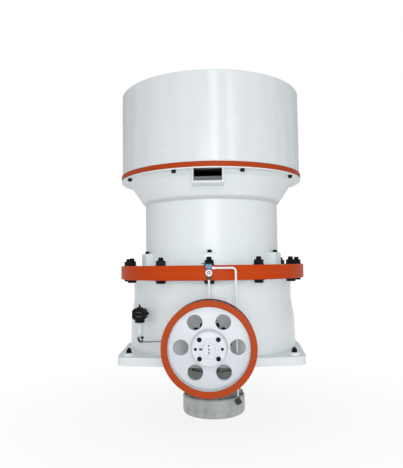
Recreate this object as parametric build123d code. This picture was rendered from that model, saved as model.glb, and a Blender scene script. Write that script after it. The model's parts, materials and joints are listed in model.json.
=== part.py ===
"""Cone crusher with a feed hopper, a grooved sheave and a hydraulic cylinder below its foot plate.

The crusher's axis is Z, the countershaft points along -Y, and the foot plate's underside is z = 0.
Every size is in millimetres. Radii are outer radii unless the name says bore.
"""
from build123d import *
import math
import os

os.makedirs("parts", exist_ok=True)

# Clearances
seat_gap = 0.3              # between curved faces that sit in one another
run_gap = 0.05              # radial, between a shaft and its bearing
over = 1.0                  # how far a cutting shape passes the face that it cuts

# Crushing chamber, which sets the radii of both shells
chamber_r = 531.0           # bore of the upper shell's barrel
barrel_wall = 52.0
flange_out = 217.0          # from the barrel to the rim of the main flange
shell_out = 104.0           # from the barrel to the neck of the lower shell
foot_disc_out = 34.0        # from the lower shell's foot to the plate's round middle

# Foot plate
foot_t = 64.0
anchor_in_x = 116.0         # from the round middle's edge in to the anchor holes
anchor_in_y = 162.0
anchor_corner_r = 85.0      # the plate's corner round each anchor hole
anchor_hole_r = 13.0
anchor_boss_r = 43.0
anchor_boss_h = 22.0

# Lower shell
shell_h = 578.0             # from the foot plate to the main flange
shell_neck_h = 178.0        # of this, the straight neck under the main flange
shell_waist_h = 160.0       # the stretch below the neck that widens
shell_waist_out = 24.0
shell_foot_out = 31.0
shell_wall = 58.0
shell_fillet = 45.0
shell_sweep = 300.0         # radius of the soft bends between its stretches

# Main flange, two rings bolted together
flange_ring_t = 56.5
flange_edge = 50.0          # from its rim to the bolt circle
flange_bolts = 12
flange_hole_r = 22.0
flange_rim_bevel = 4.0

# Upper shell
barrel_h = 521.0            # straight stretch above the main flange
shoulder_out = 25.0         # the shoulder overhangs the barrel by this
shoulder_h = 28.0
cone_out = 97.0             # the cone widens by this above the shoulder
cone_h = 145.0
bore_knee_drop = 20.0       # the bore widens from this far below the shoulder
top_flange_out = 88.0       # from the cone to the rim
top_flange_drop = 33.0      # the rim's underside rises by this from the cone
top_flange_t = 10.0
top_flange_ledge = 48.0     # flat underside beside the rim, for the bolts
mouth_in = 153.0            # from the rim in to the bore at the mouth
shoulder_bend = 9.0
cone_bend = 14.0

# Window boxes, at the ends of the spider's arms
window_w = 214.0
window_h = 96.0
window_sill_h = 43.0        # closed lower part of the window
window_sill_depth = 42.0
window_depth = 115.0
window_roof_t = 12.0
window_frame = 12.0
window_box_in = 6.0         # its face stands this far inside the flange's rim
window_box_drop = 8.0       # its underside falls by this towards the cone

# Clamp lugs on the main flange
lug_count = 6
lug_w = 94.0
lug_out = 62.0
lug_h = 99.0
lug_bend = 14.0

# Feed hopper
hopper_ring_t = 41.0
hopper_ring_w = 103.0
hopper_edge = 9.0           # the ring stands out from the hopper's plate by this
hopper_wall = 12.0
hopper_h = 702.0
hopper_bolts = 4            # in its front half, with as many in its back half
hopper_bolt_step = 40.0     # degrees
hopper_bolt_in = 28.0
hopper_hole_r = 9.0

# Spider
spider_arm_w = 216.0
spider_arm_h = 165.0
spider_arm_top = 12.0       # its arms lie this far below the hopper ring
spider_arm_root = 60.0      # extra depth of the arms at the hub
spider_hub_wall = 113.0
spider_hub_h = 250.0
spider_hub_rise = 22.0
spider_bend = 40.0
cap_in = 16.0
cap_rim_t = 26.0
cap_h = 92.0
cap_dome_in = 52.0
cap_bolts = 8
cap_bolt_in = 20.0
cap_hole_r = 9.0
shield_t = 26.0
shield_skirt = 88.0
shield_end_gap = 10.0
shield_bend = 34.0

# Concave and mantle
concave_t = 68.0
concave_top_t = 44.0
concave_lip = 6.0
concave_foot = 59.0         # its foot stands this far above the main flange
concave_belly = 150.0       # height of its thickest band above its foot
concave_top_gap = 16.0      # below the spider's arms
closed_gap = 17.0           # between mantle and concave at the narrowest place
mantle_foot_rise = 31.0     # the mantle's foot above the main flange
mantle_lip_h = 40.0
mantle_skirt_in = 54.0
mantle_skirt_h = 160.0
mantle_top_out = 113.0      # from the shaft to the mantle's top edge
mantle_t = 55.0
mantle_bend = 120.0
nut_in = 26.0
nut_h = 92.0
nut_gap = 36.0              # from the nut's top to the spider's hub
nut_taper = 42.0
nut_bend = 16.0

# Main shaft and what turns under the head
shaft_r = 91.7
shaft_foot_out = 38.3
shaft_foot_z = -6.0
collar_in = 12.0
collar_t = 28.0
collar_h = 108.0
sleeve_wall = 150.0
sleeve_h = 70.0
sleeve_bevel = 30.0

# Hub and arms of the lower shell
hub_out = 40.0              # from the cylinder's flange to the hub
hub_foot_z = 20.0
hub_body_h = 344.0
hub_shoulder_h = 60.0
hub_shoulder_in = 45.0
hub_h = 569.0
hub_bend = 30.0
arm_w = 120.0
arm_foot_z = 54.0
arm_h = 270.0
arm_shield_t = 20.0
arm_shield_h = 110.0
tunnel_wall = 34.0          # round the countershaft housing, through the front arm
liner_t = 25.0
liner_rise = 14.0           # above the arms' shields

# Hydraulic cylinder below the foot plate
neck_r = 238.0
neck_flange_out = 67.0
neck_flange_t = 44.0
neck_ribs = 12
neck_rib_t = 16.0
neck_rib_out = 48.0
neck_band_out = 26.0
neck_band_t = 34.0
neck_band_z = -136.0        # top of the band that the ribs stand on
drum_out = 32.0
drum_top_z = -366.0
drum_h = 92.0
drum_bevel = 10.0
cover_t = 66.0
cover_bend = 28.0
cover_groove = 3.0          # the seam between the drum and its cover

# Countershaft and its housing
counter_z = 183.0
counter_r = 44.5
counter_end_out = 6.0       # past the sheave's bush
counter_bevel = 3.0
counter_tap_r = 5.0
counter_tap_depth = 24.0
counter_tap_pitch = 24.0
housing_wall = 70.5
housing_flange_out = 47.0
housing_flange_t = 34.0
housing_nose = 46.0         # in front of its flange
housing_in_hub = 5.0        # its back end lies this deep in the hub
housing_bolts = 16
housing_bolt_in = 19.0
housing_hole_r = 11.0
housing_pad_margin = 6.0
pad_gap = 2.0               # the housing's seat stands this far in front of the foot plate
end_cover_in = 17.0
end_cover_t = 14.0

# Sheave
sheave_r = 332.0
groove_count = 6
groove_pitch = 25.5
groove_land = 2.5           # between two grooves
groove_depth = 22.0
groove_angle = 38.0
groove_edge = 8.0           # from the last groove to the rim's side
rim_t = 46.0
rim_bevel = 3.0
web_t = 32.0
web_recess = 83.0           # from the rim's front to the web's front
web_holes = 6
web_hole_out = 78.0         # from the sheave's hub to the circle of holes
web_hole_margin = 23.0
hub_wall = 34.0             # of the sheave's hub round its bush
hub_fillet = 14.0
sheave_gap = 18.0           # from the housing's end cover to the sheave
bush_wall = 43.5
bush_taper = 8.0
bush_flange_out = 29.0
bush_flange_t = 22.0
bush_bevel = 2.0
bush_ring_out = 19.5        # the turned groove round the shaft's end
bush_ring_w = 3.0
bush_screws = 4
bush_screw_r = 9.0
bush_jack_r = 7.0

# Gauge, cock and pipes in front of the main flange
pipe_r = 8.0
pipe_bend = 26.0
pipe_run_x = 196.0
return_drop = 80.0          # the return pipe enters the housing this far below the shaft
fitting_r = 14.0
fitting_h = 22.0
cock_w = 46.0
cock_d = 34.0
cock_h = 40.0
cock_bevel = 6.0
cock_drop = 9.0             # its middle below the main flange's top
cock_port_drop = 12.0       # the level pipe below the cock's middle
lever_l = 52.0
lever_w = 12.0
lever_t = 6.0
gauge_r = 25.5
gauge_t = 28.0
gauge_gap = 1.0             # from the flange's rim to the gauge's back
gauge_stub = 1.0
gauge_bevel = 4.0

# Air unit beside the sheave
unit_turn = -44.5           # degrees round the axis from the front
unit_z = 381.0              # middle of its body
unit_gap = 42.0             # between the shell and its body
unit_w = 108.0
unit_d = 78.0
unit_h = 84.0
unit_bevel = 16.0
unit_cap_in = 14.0          # the cap on top is narrower by this at each side
unit_cap_h = 10.0
unit_port_r = 15.0
unit_port_l = 18.0
unit_port_rise = 20.0
unit_knob_r = 7.0
unit_knob_h = 32.0
unit_collar_r = 38.0
unit_collar_h = 24.0
bowl_r = 20.0
bowl_h = 108.0
bowl_bend = 12.0
bracket_w = 44.0
bracket_h = 60.0
air_pipe_r = 5.0
air_pipe_bend = 30.0
air_pipe_in = 12.0          # from the bowl's middle to the pipe at its foot
air_pipe_drop = 44.0        # from the bowl down to the level stretch
air_pipe_pass = 30.0        # how far it passes the housing's flange, beside and in front of it
air_pipe_up = 57.0          # it enters the housing this far above the shaft
air_pipe_mid_out = 168.0    # its soft bend behind the sheave's rim, from the housing's flange
air_pipe_mid_back = 28.0
air_pipe_mid_up = 14.0

# Drain cock on the cylinder
drain_turn = 45.0           # degrees round the axis from the front
drain_z = -387.0
drain_gap = 26.0            # between the drum's radius and its body
drain_r = 21.0
drain_h = 50.0
drain_bevel = 7.0
drain_stub_r = 11.0
drain_pipe_r = 8.0
drain_pipe_bend = 22.0
drain_pipe_drop = 22.0      # its upper end below the neck's band
drain_stem_l = 12.0
drain_lever_turn = -37.0    # degrees from upright
drain_lever_l = 62.0
drain_lever_w = 14.0
drain_lever_t = 5.0

# Radii worked out from the sizes above
barrel_r = chamber_r + barrel_wall
flange_r = barrel_r + flange_out
flange_pcd_r = flange_r - flange_edge
shell_neck_r = barrel_r + shell_out
shell_waist_r = shell_neck_r + shell_waist_out
shell_foot_r = shell_neck_r + shell_foot_out
shell_bore_r = shell_neck_r - shell_wall
liner_bore_r = shell_bore_r - liner_t
foot_disc_r = shell_foot_r + foot_disc_out
anchor_x = foot_disc_r - anchor_in_x
anchor_y = foot_disc_r - anchor_in_y
shoulder_r = barrel_r + shoulder_out
cone_r = shoulder_r + cone_out
top_flange_r = cone_r + top_flange_out
mouth_r = top_flange_r - mouth_in
hopper_r = top_flange_r - hopper_edge
spider_bore_r = shaft_r + seat_gap
head_bore_r = shaft_r + seat_gap
spider_hub_r = spider_bore_r + spider_hub_wall
shaft_foot_r = shaft_r + shaft_foot_out
mantle_foot_r = chamber_r - concave_t - closed_gap
mantle_skirt_r = mantle_foot_r - mantle_skirt_in
mantle_top_r = shaft_r + mantle_top_out
head_foot_r = mantle_foot_r - mantle_t - seat_gap
collar_r = head_foot_r - collar_in
neck_flange_r = neck_r + neck_flange_out
hub_r = neck_flange_r + hub_out
hub_top_r = hub_r - hub_shoulder_in
drum_r = neck_r + drum_out
housing_r = counter_r + housing_wall
housing_flange_r = housing_r + housing_flange_out
tunnel_r = housing_r + tunnel_wall
rim_bore_r = sheave_r - rim_t
bush_r = counter_r + bush_wall
bush_flange_r = bush_r + bush_flange_out
sheave_hub_r = bush_r + hub_wall
web_hole_pcd_r = sheave_hub_r + web_hole_out
web_hole_r = min(web_hole_out, rim_bore_r - web_hole_pcd_r) - web_hole_margin
bush_pcd_r = (bush_flange_r + counter_r + bush_ring_out + bush_ring_w) / 2

# Heights worked out from the sizes above
flange_z = foot_t + shell_h
flange_mid_z = flange_z + flange_ring_t
flange_top_z = flange_mid_z + flange_ring_t
neck_z = flange_z - shell_neck_h
waist_z = neck_z - shell_waist_h
shoulder_z = flange_top_z + barrel_h
bore_knee_z = shoulder_z - bore_knee_drop
cone_foot_z = shoulder_z + shoulder_h
cone_z = cone_foot_z + cone_h
top_flange_z = cone_z + top_flange_drop
ring_z = top_flange_z + top_flange_t
hopper_z = ring_z + hopper_ring_t
hopper_top_z = hopper_z + hopper_h
window_z = ring_z - window_roof_t
spider_hub_z = ring_z - spider_hub_h
spider_top_z = ring_z + spider_hub_rise
arm_top_z = ring_z - spider_arm_top
concave_top_z = ring_z - spider_arm_h - concave_top_gap
concave_foot_z = flange_top_z + concave_foot
mantle_foot_z = flange_top_z + mantle_foot_rise
mantle_skirt_z = mantle_foot_z + mantle_skirt_h
mantle_top_z = spider_hub_z - nut_gap - nut_h
hub_shoulder_z = hub_foot_z + hub_body_h
hub_top_z = hub_foot_z + hub_h
arm_top = arm_foot_z + arm_h
liner_foot_z = max(arm_top + arm_shield_t, counter_z + tunnel_r) + liner_rise
drum_foot_z = drum_top_z - drum_h
cover_foot_z = drum_foot_z - cover_t

# Places along the countershaft, which points towards -Y
groove_top_w = groove_pitch - groove_land
groove_foot_w = groove_top_w - 2 * groove_depth * math.tan(math.radians(groove_angle / 2))
sheave_w = groove_count * groove_pitch - groove_land + 2 * groove_edge
pad_y = -foot_disc_r - pad_gap
housing_flange_y = pad_y - housing_flange_t
housing_nose_y = housing_flange_y - housing_nose
housing_back_y = -hub_r + housing_in_hub
end_cover_y = housing_nose_y - end_cover_t
sheave_back_y = end_cover_y - sheave_gap
sheave_front_y = sheave_back_y - sheave_w
web_y = sheave_front_y + web_recess
bush_seat_y = sheave_front_y + bush_flange_t
counter_end_y = sheave_front_y - counter_end_out
counter_back_y = housing_back_y - over
window_face_r = top_flange_r - window_box_in

# Places of the pipes, the air unit and the drain cock
pipe_y = -flange_r - gauge_gap - gauge_t / 2
cock_z = flange_top_z - cock_drop
run_z = cock_z - cock_port_drop
gauge_z = cock_z - cock_h / 2 - gauge_stub - gauge_r
unit_r = shell_waist_r + unit_gap + unit_d / 2
unit_place = Rot(0, 0, unit_turn) * Pos(0, -unit_r, 0) * Rot(0, 0, -unit_turn)
bowl_top_z = unit_z - unit_h / 2 - unit_collar_h
bowl_foot_z = bowl_top_z - bowl_h
drain_place_r = drum_r + drain_gap
drain_place = Rot(0, 0, drain_turn)


def corner_room(before, here, after):
    """The largest radius that the two sides of a corner leave room for."""
    back = Vector(*before) - Vector(*here)
    ahead = Vector(*after) - Vector(*here)
    return 0.45 * min(back.length, ahead.length) * math.tan(math.radians(back.get_angle(ahead) / 2))


def outline(corners):
    """A closed face from (x, y) or (x, y, radius) corners, each radius limited by its two sides."""
    places = [corner[:2] for corner in corners]
    radii = []
    for i, corner in enumerate(corners):
        wanted = corner[2] if len(corner) > 2 else 0
        room = corner_room(places[i - 1], places[i], places[(i + 1) % len(places)]) if wanted else 0
        radii.append(min(wanted, room))
    return make_face(FilletPolyline(*places, radius=radii, close=True))


def turned(corners):
    """A solid turned about the crusher's axis from (radius, height) corners."""
    return revolve(Plane.XZ * outline(corners), Axis.Z)


def tube(r_out, r_in, z0, z1):
    return turned([(r_in, z0), (r_out, z0), (r_out, z1), (r_in, z1)])


def disc(r, z0, z1):
    return Pos(0, 0, (z0 + z1) / 2) * Cylinder(r, z1 - z0)


def bar(r, y0, y1, x=0.0, z=counter_z):
    """A round bar along Y between y0 and y1."""
    return Pos(x, (y0 + y1) / 2, z) * Rot(90, 0, 0) * Cylinder(r, abs(y1 - y0))


def turned_bar(corners):
    """A solid turned about the countershaft from (radius, y) corners."""
    return Pos(0, 0, counter_z) * revolve(outline(corners), Axis.Y)


def block(x0, x1, y0, y1, z0, z1):
    return Pos((x0 + x1) / 2, (y0 + y1) / 2, (z0 + z1) / 2) * Box(x1 - x0, y1 - y0, z1 - z0)


def across(corners, width):
    """A solid from a side outline of (y, z) corners, as wide as stated and centred on x = 0."""
    return Pos(-width / 2, 0, 0) * extrude(Plane.YZ * outline(corners), width)


def along(corners, y0, y1):
    """A solid from an end outline of (x, z) corners, between y0 and y1."""
    return Pos(0, max(y0, y1), 0) * extrude(Plane.XZ * outline(corners), abs(y1 - y0))


def round_the_axis(shape, count, first=0.0):
    """Copies of a shape made at the front, spaced evenly round the crusher's axis."""
    return [Rot(0, 0, first + 360 / count * i) * shape for i in range(count)]


def hopper_bolt_holes(z0, z1):
    """Round bars for the hopper ring's bolts, none of them above a window."""
    hole = Pos(0, -top_flange_r + hopper_bolt_in, 0) * disc(hopper_hole_r, z0, z1)
    first = -hopper_bolt_step * (hopper_bolts - 1) / 2
    turns = [first + hopper_bolt_step * i for i in range(hopper_bolts)]
    return [Rot(0, 0, half + turn) * hole for half in (0, 180) for turn in turns]


def round_the_shaft(r, hole_r, y0, y1, count, first=0.0):
    """Round bars along Y, spaced evenly on a circle round the countershaft."""
    bars = []
    for i in range(count):
        turn = math.radians(first + 360 / count * i)
        bars.append(bar(hole_r, y0, y1, r * math.cos(turn), counter_z + r * math.sin(turn)))
    return bars


def pipe(points, r, bend):
    """A bent pipe through the points, its ends square."""
    path = FilletPolyline(*points, radius=bend) if len(points) > 2 else Line(*points)
    start = Plane(origin=path @ 0, z_dir=path % 0)
    return sweep(start * Circle(r), path=path)


def top_inside(gap):
    """The space inside the upper shell, smaller by a gap."""
    return turned([
        (0, flange_top_z),
        (chamber_r - gap, flange_top_z),
        (chamber_r - gap, bore_knee_z),
        (mouth_r - gap, cone_z),
        (mouth_r - gap, hopper_z),
        (0, hopper_z),
    ])


def housing_passage(gap):
    """The way of the countershaft housing through the shell, the plate and the hub."""
    return bar(housing_r + gap, housing_flange_y, housing_back_y)


def make_foot_plate():
    anchors = [Pos(x, y) for x in (-anchor_x, anchor_x) for y in (-anchor_y, anchor_y)]
    rounds = Circle(foot_disc_r).edges()
    for anchor in anchors:
        rounds += (anchor * Circle(anchor_corner_r)).edges()
    plate = extrude(make_hull(rounds), foot_t)
    boss_z = foot_t + anchor_boss_h
    for anchor in anchors:
        plate += anchor * disc(anchor_boss_r, foot_t, boss_z)
    holes = [anchor * disc(anchor_hole_r, -over, boss_z + over) for anchor in anchors]
    plate -= disc(shell_bore_r, -over, foot_t + over)
    return plate - holes - housing_passage(seat_gap)


def make_bottom_shell():
    shell = shell_outside(0)
    cove_r = shell_neck_r + shell_fillet
    shell += tube(cove_r, shell_neck_r, flange_z - shell_fillet, flange_z)
    shell -= Pos(0, 0, flange_z - shell_fillet) * Torus(cove_r, shell_fillet)
    pad = bar(housing_flange_r + housing_pad_margin, pad_y, -shell_bore_r)
    shell += pad - disc(2 * foot_disc_r, -2 * foot_disc_r, foot_t)
    return shell - disc(shell_bore_r, 0, flange_z + over) - housing_passage(seat_gap)


def make_shell_liner():
    return tube(shell_bore_r - seat_gap, liner_bore_r, liner_foot_z, flange_z)


def make_flange_ring(z0, bore_r):
    bevel = flange_rim_bevel
    z1 = z0 + flange_ring_t
    ring = turned([
        (bore_r, z0),
        (flange_r - bevel, z0),
        (flange_r, z0 + bevel),
        (flange_r, z1 - bevel),
        (flange_r - bevel, z1),
        (bore_r, z1),
    ])
    hole = Pos(0, -flange_pcd_r, 0) * disc(flange_hole_r, z0 - over, z1 + over)
    return ring - round_the_axis(hole, flange_bolts)


def make_window_box():
    """The box at the end of the front spider arm."""
    foot_z = window_z - window_h - window_roof_t
    return across([
        (-mouth_r + over, ring_z),
        (-top_flange_r, ring_z),
        (-top_flange_r, foot_z),
        (-shoulder_r, foot_z - window_box_drop),
        (-mouth_r + over, foot_z - window_box_drop),
    ], window_w + 2 * window_frame) & disc(window_face_r, cone_foot_z - window_box_drop, ring_z)


def make_window_opening():
    half = window_w / 2
    foot_z = window_z - window_h
    deep = block(-half, half, -top_flange_r, -window_face_r + window_depth, foot_z + window_sill_h, window_z)
    return deep + block(-half, half, -top_flange_r, -window_face_r + window_sill_depth, foot_z, window_z)


def make_top_shell():
    shell = turned([
        (0, flange_top_z),
        (barrel_r, flange_top_z),
        (barrel_r, shoulder_z, shoulder_bend),
        (shoulder_r, cone_foot_z, cone_bend),
        (cone_r, cone_z),
        (top_flange_r - top_flange_ledge, top_flange_z),
        (top_flange_r, top_flange_z),
        (top_flange_r, ring_z),
        (0, ring_z),
    ])
    for turn in (0, 180):
        shell += Rot(0, 0, turn) * make_window_box()
        shell -= Rot(0, 0, turn) * make_window_opening()
    return shell - top_inside(0) - hopper_bolt_holes(cone_z, ring_z + over)


def make_clamp_lugs():
    z0 = flange_top_z
    lug = across([
        (-barrel_r + lug_out, z0),
        (-barrel_r - lug_out, z0),
        (-barrel_r - lug_out, z0 + lug_h, lug_bend),
        (-barrel_r + lug_out, z0 + lug_h),
    ], lug_w)
    lug -= disc(barrel_r + seat_gap, z0 - over, z0 + lug_h + over)
    return Compound(round_the_axis(lug, lug_count))


def make_hopper_ring():
    ring = tube(top_flange_r, top_flange_r - hopper_ring_w, ring_z, hopper_z)
    return ring - hopper_bolt_holes(ring_z - over, hopper_z + over)


def make_feed_hopper():
    return tube(hopper_r, hopper_r - hopper_wall, hopper_z, hopper_top_z)


def make_spider():
    arm = across([
        (0, arm_top_z),
        (-mouth_r, arm_top_z),
        (-mouth_r, ring_z - spider_arm_h),
        (-(mouth_r + spider_hub_r) / 2, ring_z - spider_arm_h, spider_arm_h),
        (-spider_hub_r, ring_z - spider_arm_h - spider_arm_root),
        (0, ring_z - spider_arm_h - spider_arm_root),
    ], spider_arm_w)
    arms = (arm + Rot(0, 0, 180) * arm) & top_inside(seat_gap)
    hub = turned([
        (0, spider_hub_z),
        (spider_hub_r - spider_bend, spider_hub_z),
        (spider_hub_r, spider_hub_z + spider_bend),
        (spider_hub_r, spider_top_z),
        (0, spider_top_z),
    ])
    return arms + hub - disc(spider_bore_r, spider_hub_z - over, spider_top_z + over)


def make_spider_cap():
    r = spider_hub_r - cap_in
    rim_z = spider_top_z + cap_rim_t
    cap = turned([
        (0, spider_top_z),
        (r, spider_top_z),
        (r, rim_z),
        (r - cap_dome_in, rim_z, cap_rim_t / 2),
        (r - cap_dome_in - cap_rim_t, spider_top_z + cap_h, cap_h / 2),
        (0, spider_top_z + cap_h),
    ])
    hole = Pos(0, -r + cap_bolt_in, 0) * disc(cap_hole_r, spider_top_z - over, rim_z + over)
    return cap - round_the_axis(hole, cap_bolts)


def make_arm_shields():
    half = spider_arm_w / 2 + seat_gap
    wide = half + shield_t
    y0 = -spider_hub_r - shield_end_gap
    roof = along([
        (-wide, arm_top_z - shield_skirt),
        (-wide, arm_top_z + shield_t, shield_bend),
        (wide, arm_top_z + shield_t, shield_bend),
        (wide, arm_top_z - shield_skirt),
        (half, arm_top_z - shield_skirt),
        (half, arm_top_z),
        (-half, arm_top_z),
        (-half, arm_top_z - shield_skirt),
    ], -mouth_r, y0)
    roof &= top_inside(seat_gap)
    return Compound([roof, Rot(0, 0, 180) * roof])


def concave_back_r(z):
    """Radius of the concave's back, which follows the bore of the upper shell."""
    share = max(0.0, (z - bore_knee_z) / (cone_z - bore_knee_z))
    return chamber_r + share * (mouth_r - chamber_r) - seat_gap


def make_concave():
    corners = [(concave_back_r(concave_foot_z), concave_foot_z)]
    if concave_top_z > bore_knee_z:
        corners.append((concave_back_r(bore_knee_z), bore_knee_z))
    corners += [
        (concave_back_r(concave_top_z), concave_top_z),
        (concave_back_r(concave_top_z) - concave_top_t, concave_top_z),
        (chamber_r - concave_t, concave_foot_z + concave_belly, mantle_bend),
        (chamber_r - concave_t + concave_lip, concave_foot_z),
    ]
    return turned(corners)


def make_mantle():
    return turned([
        (mantle_foot_r, mantle_foot_z),
        (mantle_foot_r, mantle_foot_z + mantle_lip_h),
        (mantle_skirt_r, mantle_skirt_z, mantle_bend),
        (mantle_top_r, mantle_top_z),
        (mantle_top_r - mantle_t, mantle_top_z),
        (mantle_skirt_r - mantle_t, mantle_skirt_z),
        (mantle_foot_r - mantle_t, mantle_foot_z),
    ])


def make_head():
    """The forged core that carries the mantle."""
    return turned([
        (head_foot_r, mantle_foot_z),
        (mantle_skirt_r - mantle_t - seat_gap, mantle_skirt_z),
        (mantle_top_r - mantle_t - seat_gap, mantle_top_z),
        (head_bore_r, mantle_top_z),
        (head_bore_r, mantle_foot_z),
    ])


def make_head_nut():
    r = mantle_top_r - nut_in
    return turned([
        (head_bore_r, mantle_top_z),
        (r, mantle_top_z),
        (r, mantle_top_z + nut_h / 3, nut_bend),
        (r - nut_taper, mantle_top_z + nut_h, nut_bend),
        (head_bore_r, mantle_top_z + nut_h),
    ])


def make_main_shaft():
    return disc(shaft_r, mantle_foot_z, ring_z) + disc(shaft_foot_r, shaft_foot_z, mantle_foot_z)


def make_dust_collar():
    return tube(collar_r, collar_r - collar_t, mantle_foot_z - collar_h, mantle_foot_z)


def make_eccentric_sleeve():
    bore_r = shaft_foot_r + run_gap
    r = bore_r + sleeve_wall
    return turned([
        (bore_r, hub_top_z),
        (r, hub_top_z),
        (r, hub_top_z + sleeve_h - sleeve_bevel),
        (r - sleeve_bevel, hub_top_z + sleeve_h),
        (bore_r, hub_top_z + sleeve_h),
    ])


def make_bottom_hub():
    bore_r = shaft_foot_r + run_gap
    hub = turned([
        (bore_r, hub_foot_z),
        (hub_r, hub_foot_z),
        (hub_r, hub_shoulder_z, hub_bend),
        (hub_top_r, hub_shoulder_z + hub_shoulder_h, hub_bend),
        (hub_top_r, hub_top_z),
        (bore_r, hub_top_z),
    ])
    return hub - housing_passage(seat_gap)


def arm_profile(out):
    """End outline of an arm with a rounded top, larger all round by out."""
    half = arm_w / 2 + out
    return [
        (-half, arm_foot_z),
        (-half, arm_top + out, half),
        (half, arm_top + out, half),
        (half, arm_foot_z),
    ]


def make_hub_arms():
    """Three arms with rounded tops, and the front one, which is a tunnel for the countershaft housing."""
    arm = along(arm_profile(0), -shell_foot_r, -hub_r / 2)
    arms = [Rot(0, 0, turn) * arm for turn in (90, 180, 270)]
    tunnel = bar(tunnel_r, -shell_foot_r, -hub_r / 2)
    tunnel += block(-arm_w / 2, arm_w / 2, -shell_foot_r, -hub_r / 2, arm_foot_z, counter_z)
    arms.append(tunnel - housing_passage(seat_gap))
    inside = disc(shell_bore_r - seat_gap, arm_foot_z, flange_z)
    return Compound([(one & inside) - disc(hub_r + seat_gap, 0, hub_top_z) for one in arms])


def make_arm_liners():
    """Wear shields over the three plain arms."""
    foot_z = arm_top - arm_shield_h
    shield = along(arm_profile(arm_shield_t), -shell_foot_r, -hub_r / 2)
    shield &= disc(shell_bore_r - seat_gap, 0, flange_z)
    shield -= along(arm_profile(seat_gap), -shell_foot_r, 0)
    shield -= disc(2 * shell_foot_r, arm_foot_z - over, foot_z)
    shield -= disc(hub_r + seat_gap, 0, hub_top_z)
    return Compound([Rot(0, 0, turn) * shield for turn in (90, 180, 270)])


def make_cylinder_neck():
    neck = disc(neck_r, drum_top_z, hub_foot_z)
    neck += disc(neck_flange_r, hub_foot_z - neck_flange_t, hub_foot_z)
    neck += disc(neck_r + neck_band_out, neck_band_z - neck_band_t, neck_band_z)
    return neck - disc(shaft_foot_r + seat_gap, shaft_foot_z, hub_foot_z + over)


def make_neck_ribs():
    """Ribs between the neck's flange and its band."""
    rib = across([
        (0, hub_foot_z - neck_flange_t),
        (-neck_r - neck_rib_out, hub_foot_z - neck_flange_t),
        (-neck_r - neck_band_out, neck_band_z),
        (0, neck_band_z),
    ], neck_rib_t)
    rib -= disc(neck_r + seat_gap, neck_band_z - over, hub_foot_z)
    return Compound(round_the_axis(rib, neck_ribs, 180 / neck_ribs))


def make_cylinder_drum():
    return turned([
        (0, drum_foot_z),
        (drum_r, drum_foot_z),
        (drum_r, drum_top_z - drum_bevel),
        (drum_r - drum_bevel, drum_top_z),
        (0, drum_top_z),
    ])


def make_cylinder_cover():
    return turned([
        (0, cover_foot_z),
        (drum_r, cover_foot_z, cover_bend),
        (drum_r, drum_foot_z - cover_groove),
        (drum_r - cover_groove, drum_foot_z),
        (0, drum_foot_z),
    ])


def make_countershaft_housing():
    body = bar(housing_r, housing_nose_y, housing_back_y)
    body += bar(housing_flange_r, housing_flange_y, pad_y)
    body -= round_the_shaft(housing_flange_r - housing_bolt_in, housing_hole_r, housing_flange_y - over,
                            pad_y + over, housing_bolts)
    return body - bar(counter_r + run_gap, housing_nose_y - over, housing_back_y + over)


def make_end_cover():
    return bar(housing_r - end_cover_in, end_cover_y, housing_nose_y) - bar(
        counter_r + run_gap, end_cover_y - over, housing_nose_y + over)


def make_countershaft():
    shaft = turned_bar([
        (0, counter_end_y),
        (counter_r - counter_bevel, counter_end_y),
        (counter_r, counter_end_y + counter_bevel),
        (counter_r, counter_back_y),
        (0, counter_back_y),
    ])
    for step in (-1, 0, 1):
        shaft -= bar(counter_tap_r, counter_end_y - over, counter_end_y + counter_tap_depth,
                     0, counter_z + step * counter_tap_pitch)
    return shaft


def make_sheave_rim():
    corners = [
        (rim_bore_r, sheave_front_y + rim_bevel),
        (rim_bore_r + rim_bevel, sheave_front_y),
        (sheave_r, sheave_front_y),
    ]
    for i in range(groove_count):
        middle = sheave_front_y + groove_edge + groove_top_w / 2 + i * groove_pitch
        corners += [
            (sheave_r, middle - groove_top_w / 2),
            (sheave_r - groove_depth, middle - groove_foot_w / 2),
            (sheave_r - groove_depth, middle + groove_foot_w / 2),
            (sheave_r, middle + groove_top_w / 2),
        ]
    corners += [
        (sheave_r, sheave_back_y),
        (rim_bore_r + rim_bevel, sheave_back_y),
        (rim_bore_r, sheave_back_y - rim_bevel),
    ]
    return turned_bar(corners)


def bush_bore():
    """The tapered seat in the sheave's hub."""
    return turned_bar([
        (0, bush_seat_y - over),
        (bush_r + seat_gap, bush_seat_y - over),
        (bush_r + seat_gap, bush_seat_y),
        (bush_r - bush_taper + seat_gap, sheave_back_y),
        (bush_r - bush_taper + seat_gap, sheave_back_y + over),
        (0, sheave_back_y + over),
    ])


def make_sheave_web():
    web = turned_bar([
        (0, bush_seat_y),
        (sheave_hub_r, bush_seat_y),
        (sheave_hub_r, web_y, hub_fillet),
        (rim_bore_r, web_y),
        (rim_bore_r, web_y + web_t),
        (sheave_hub_r, web_y + web_t, hub_fillet),
        (sheave_hub_r, sheave_back_y),
        (0, sheave_back_y),
    ])
    web -= round_the_shaft(web_hole_pcd_r, web_hole_r, web_y - over, web_y + web_t + over, web_holes)
    return web - bush_bore()


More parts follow.
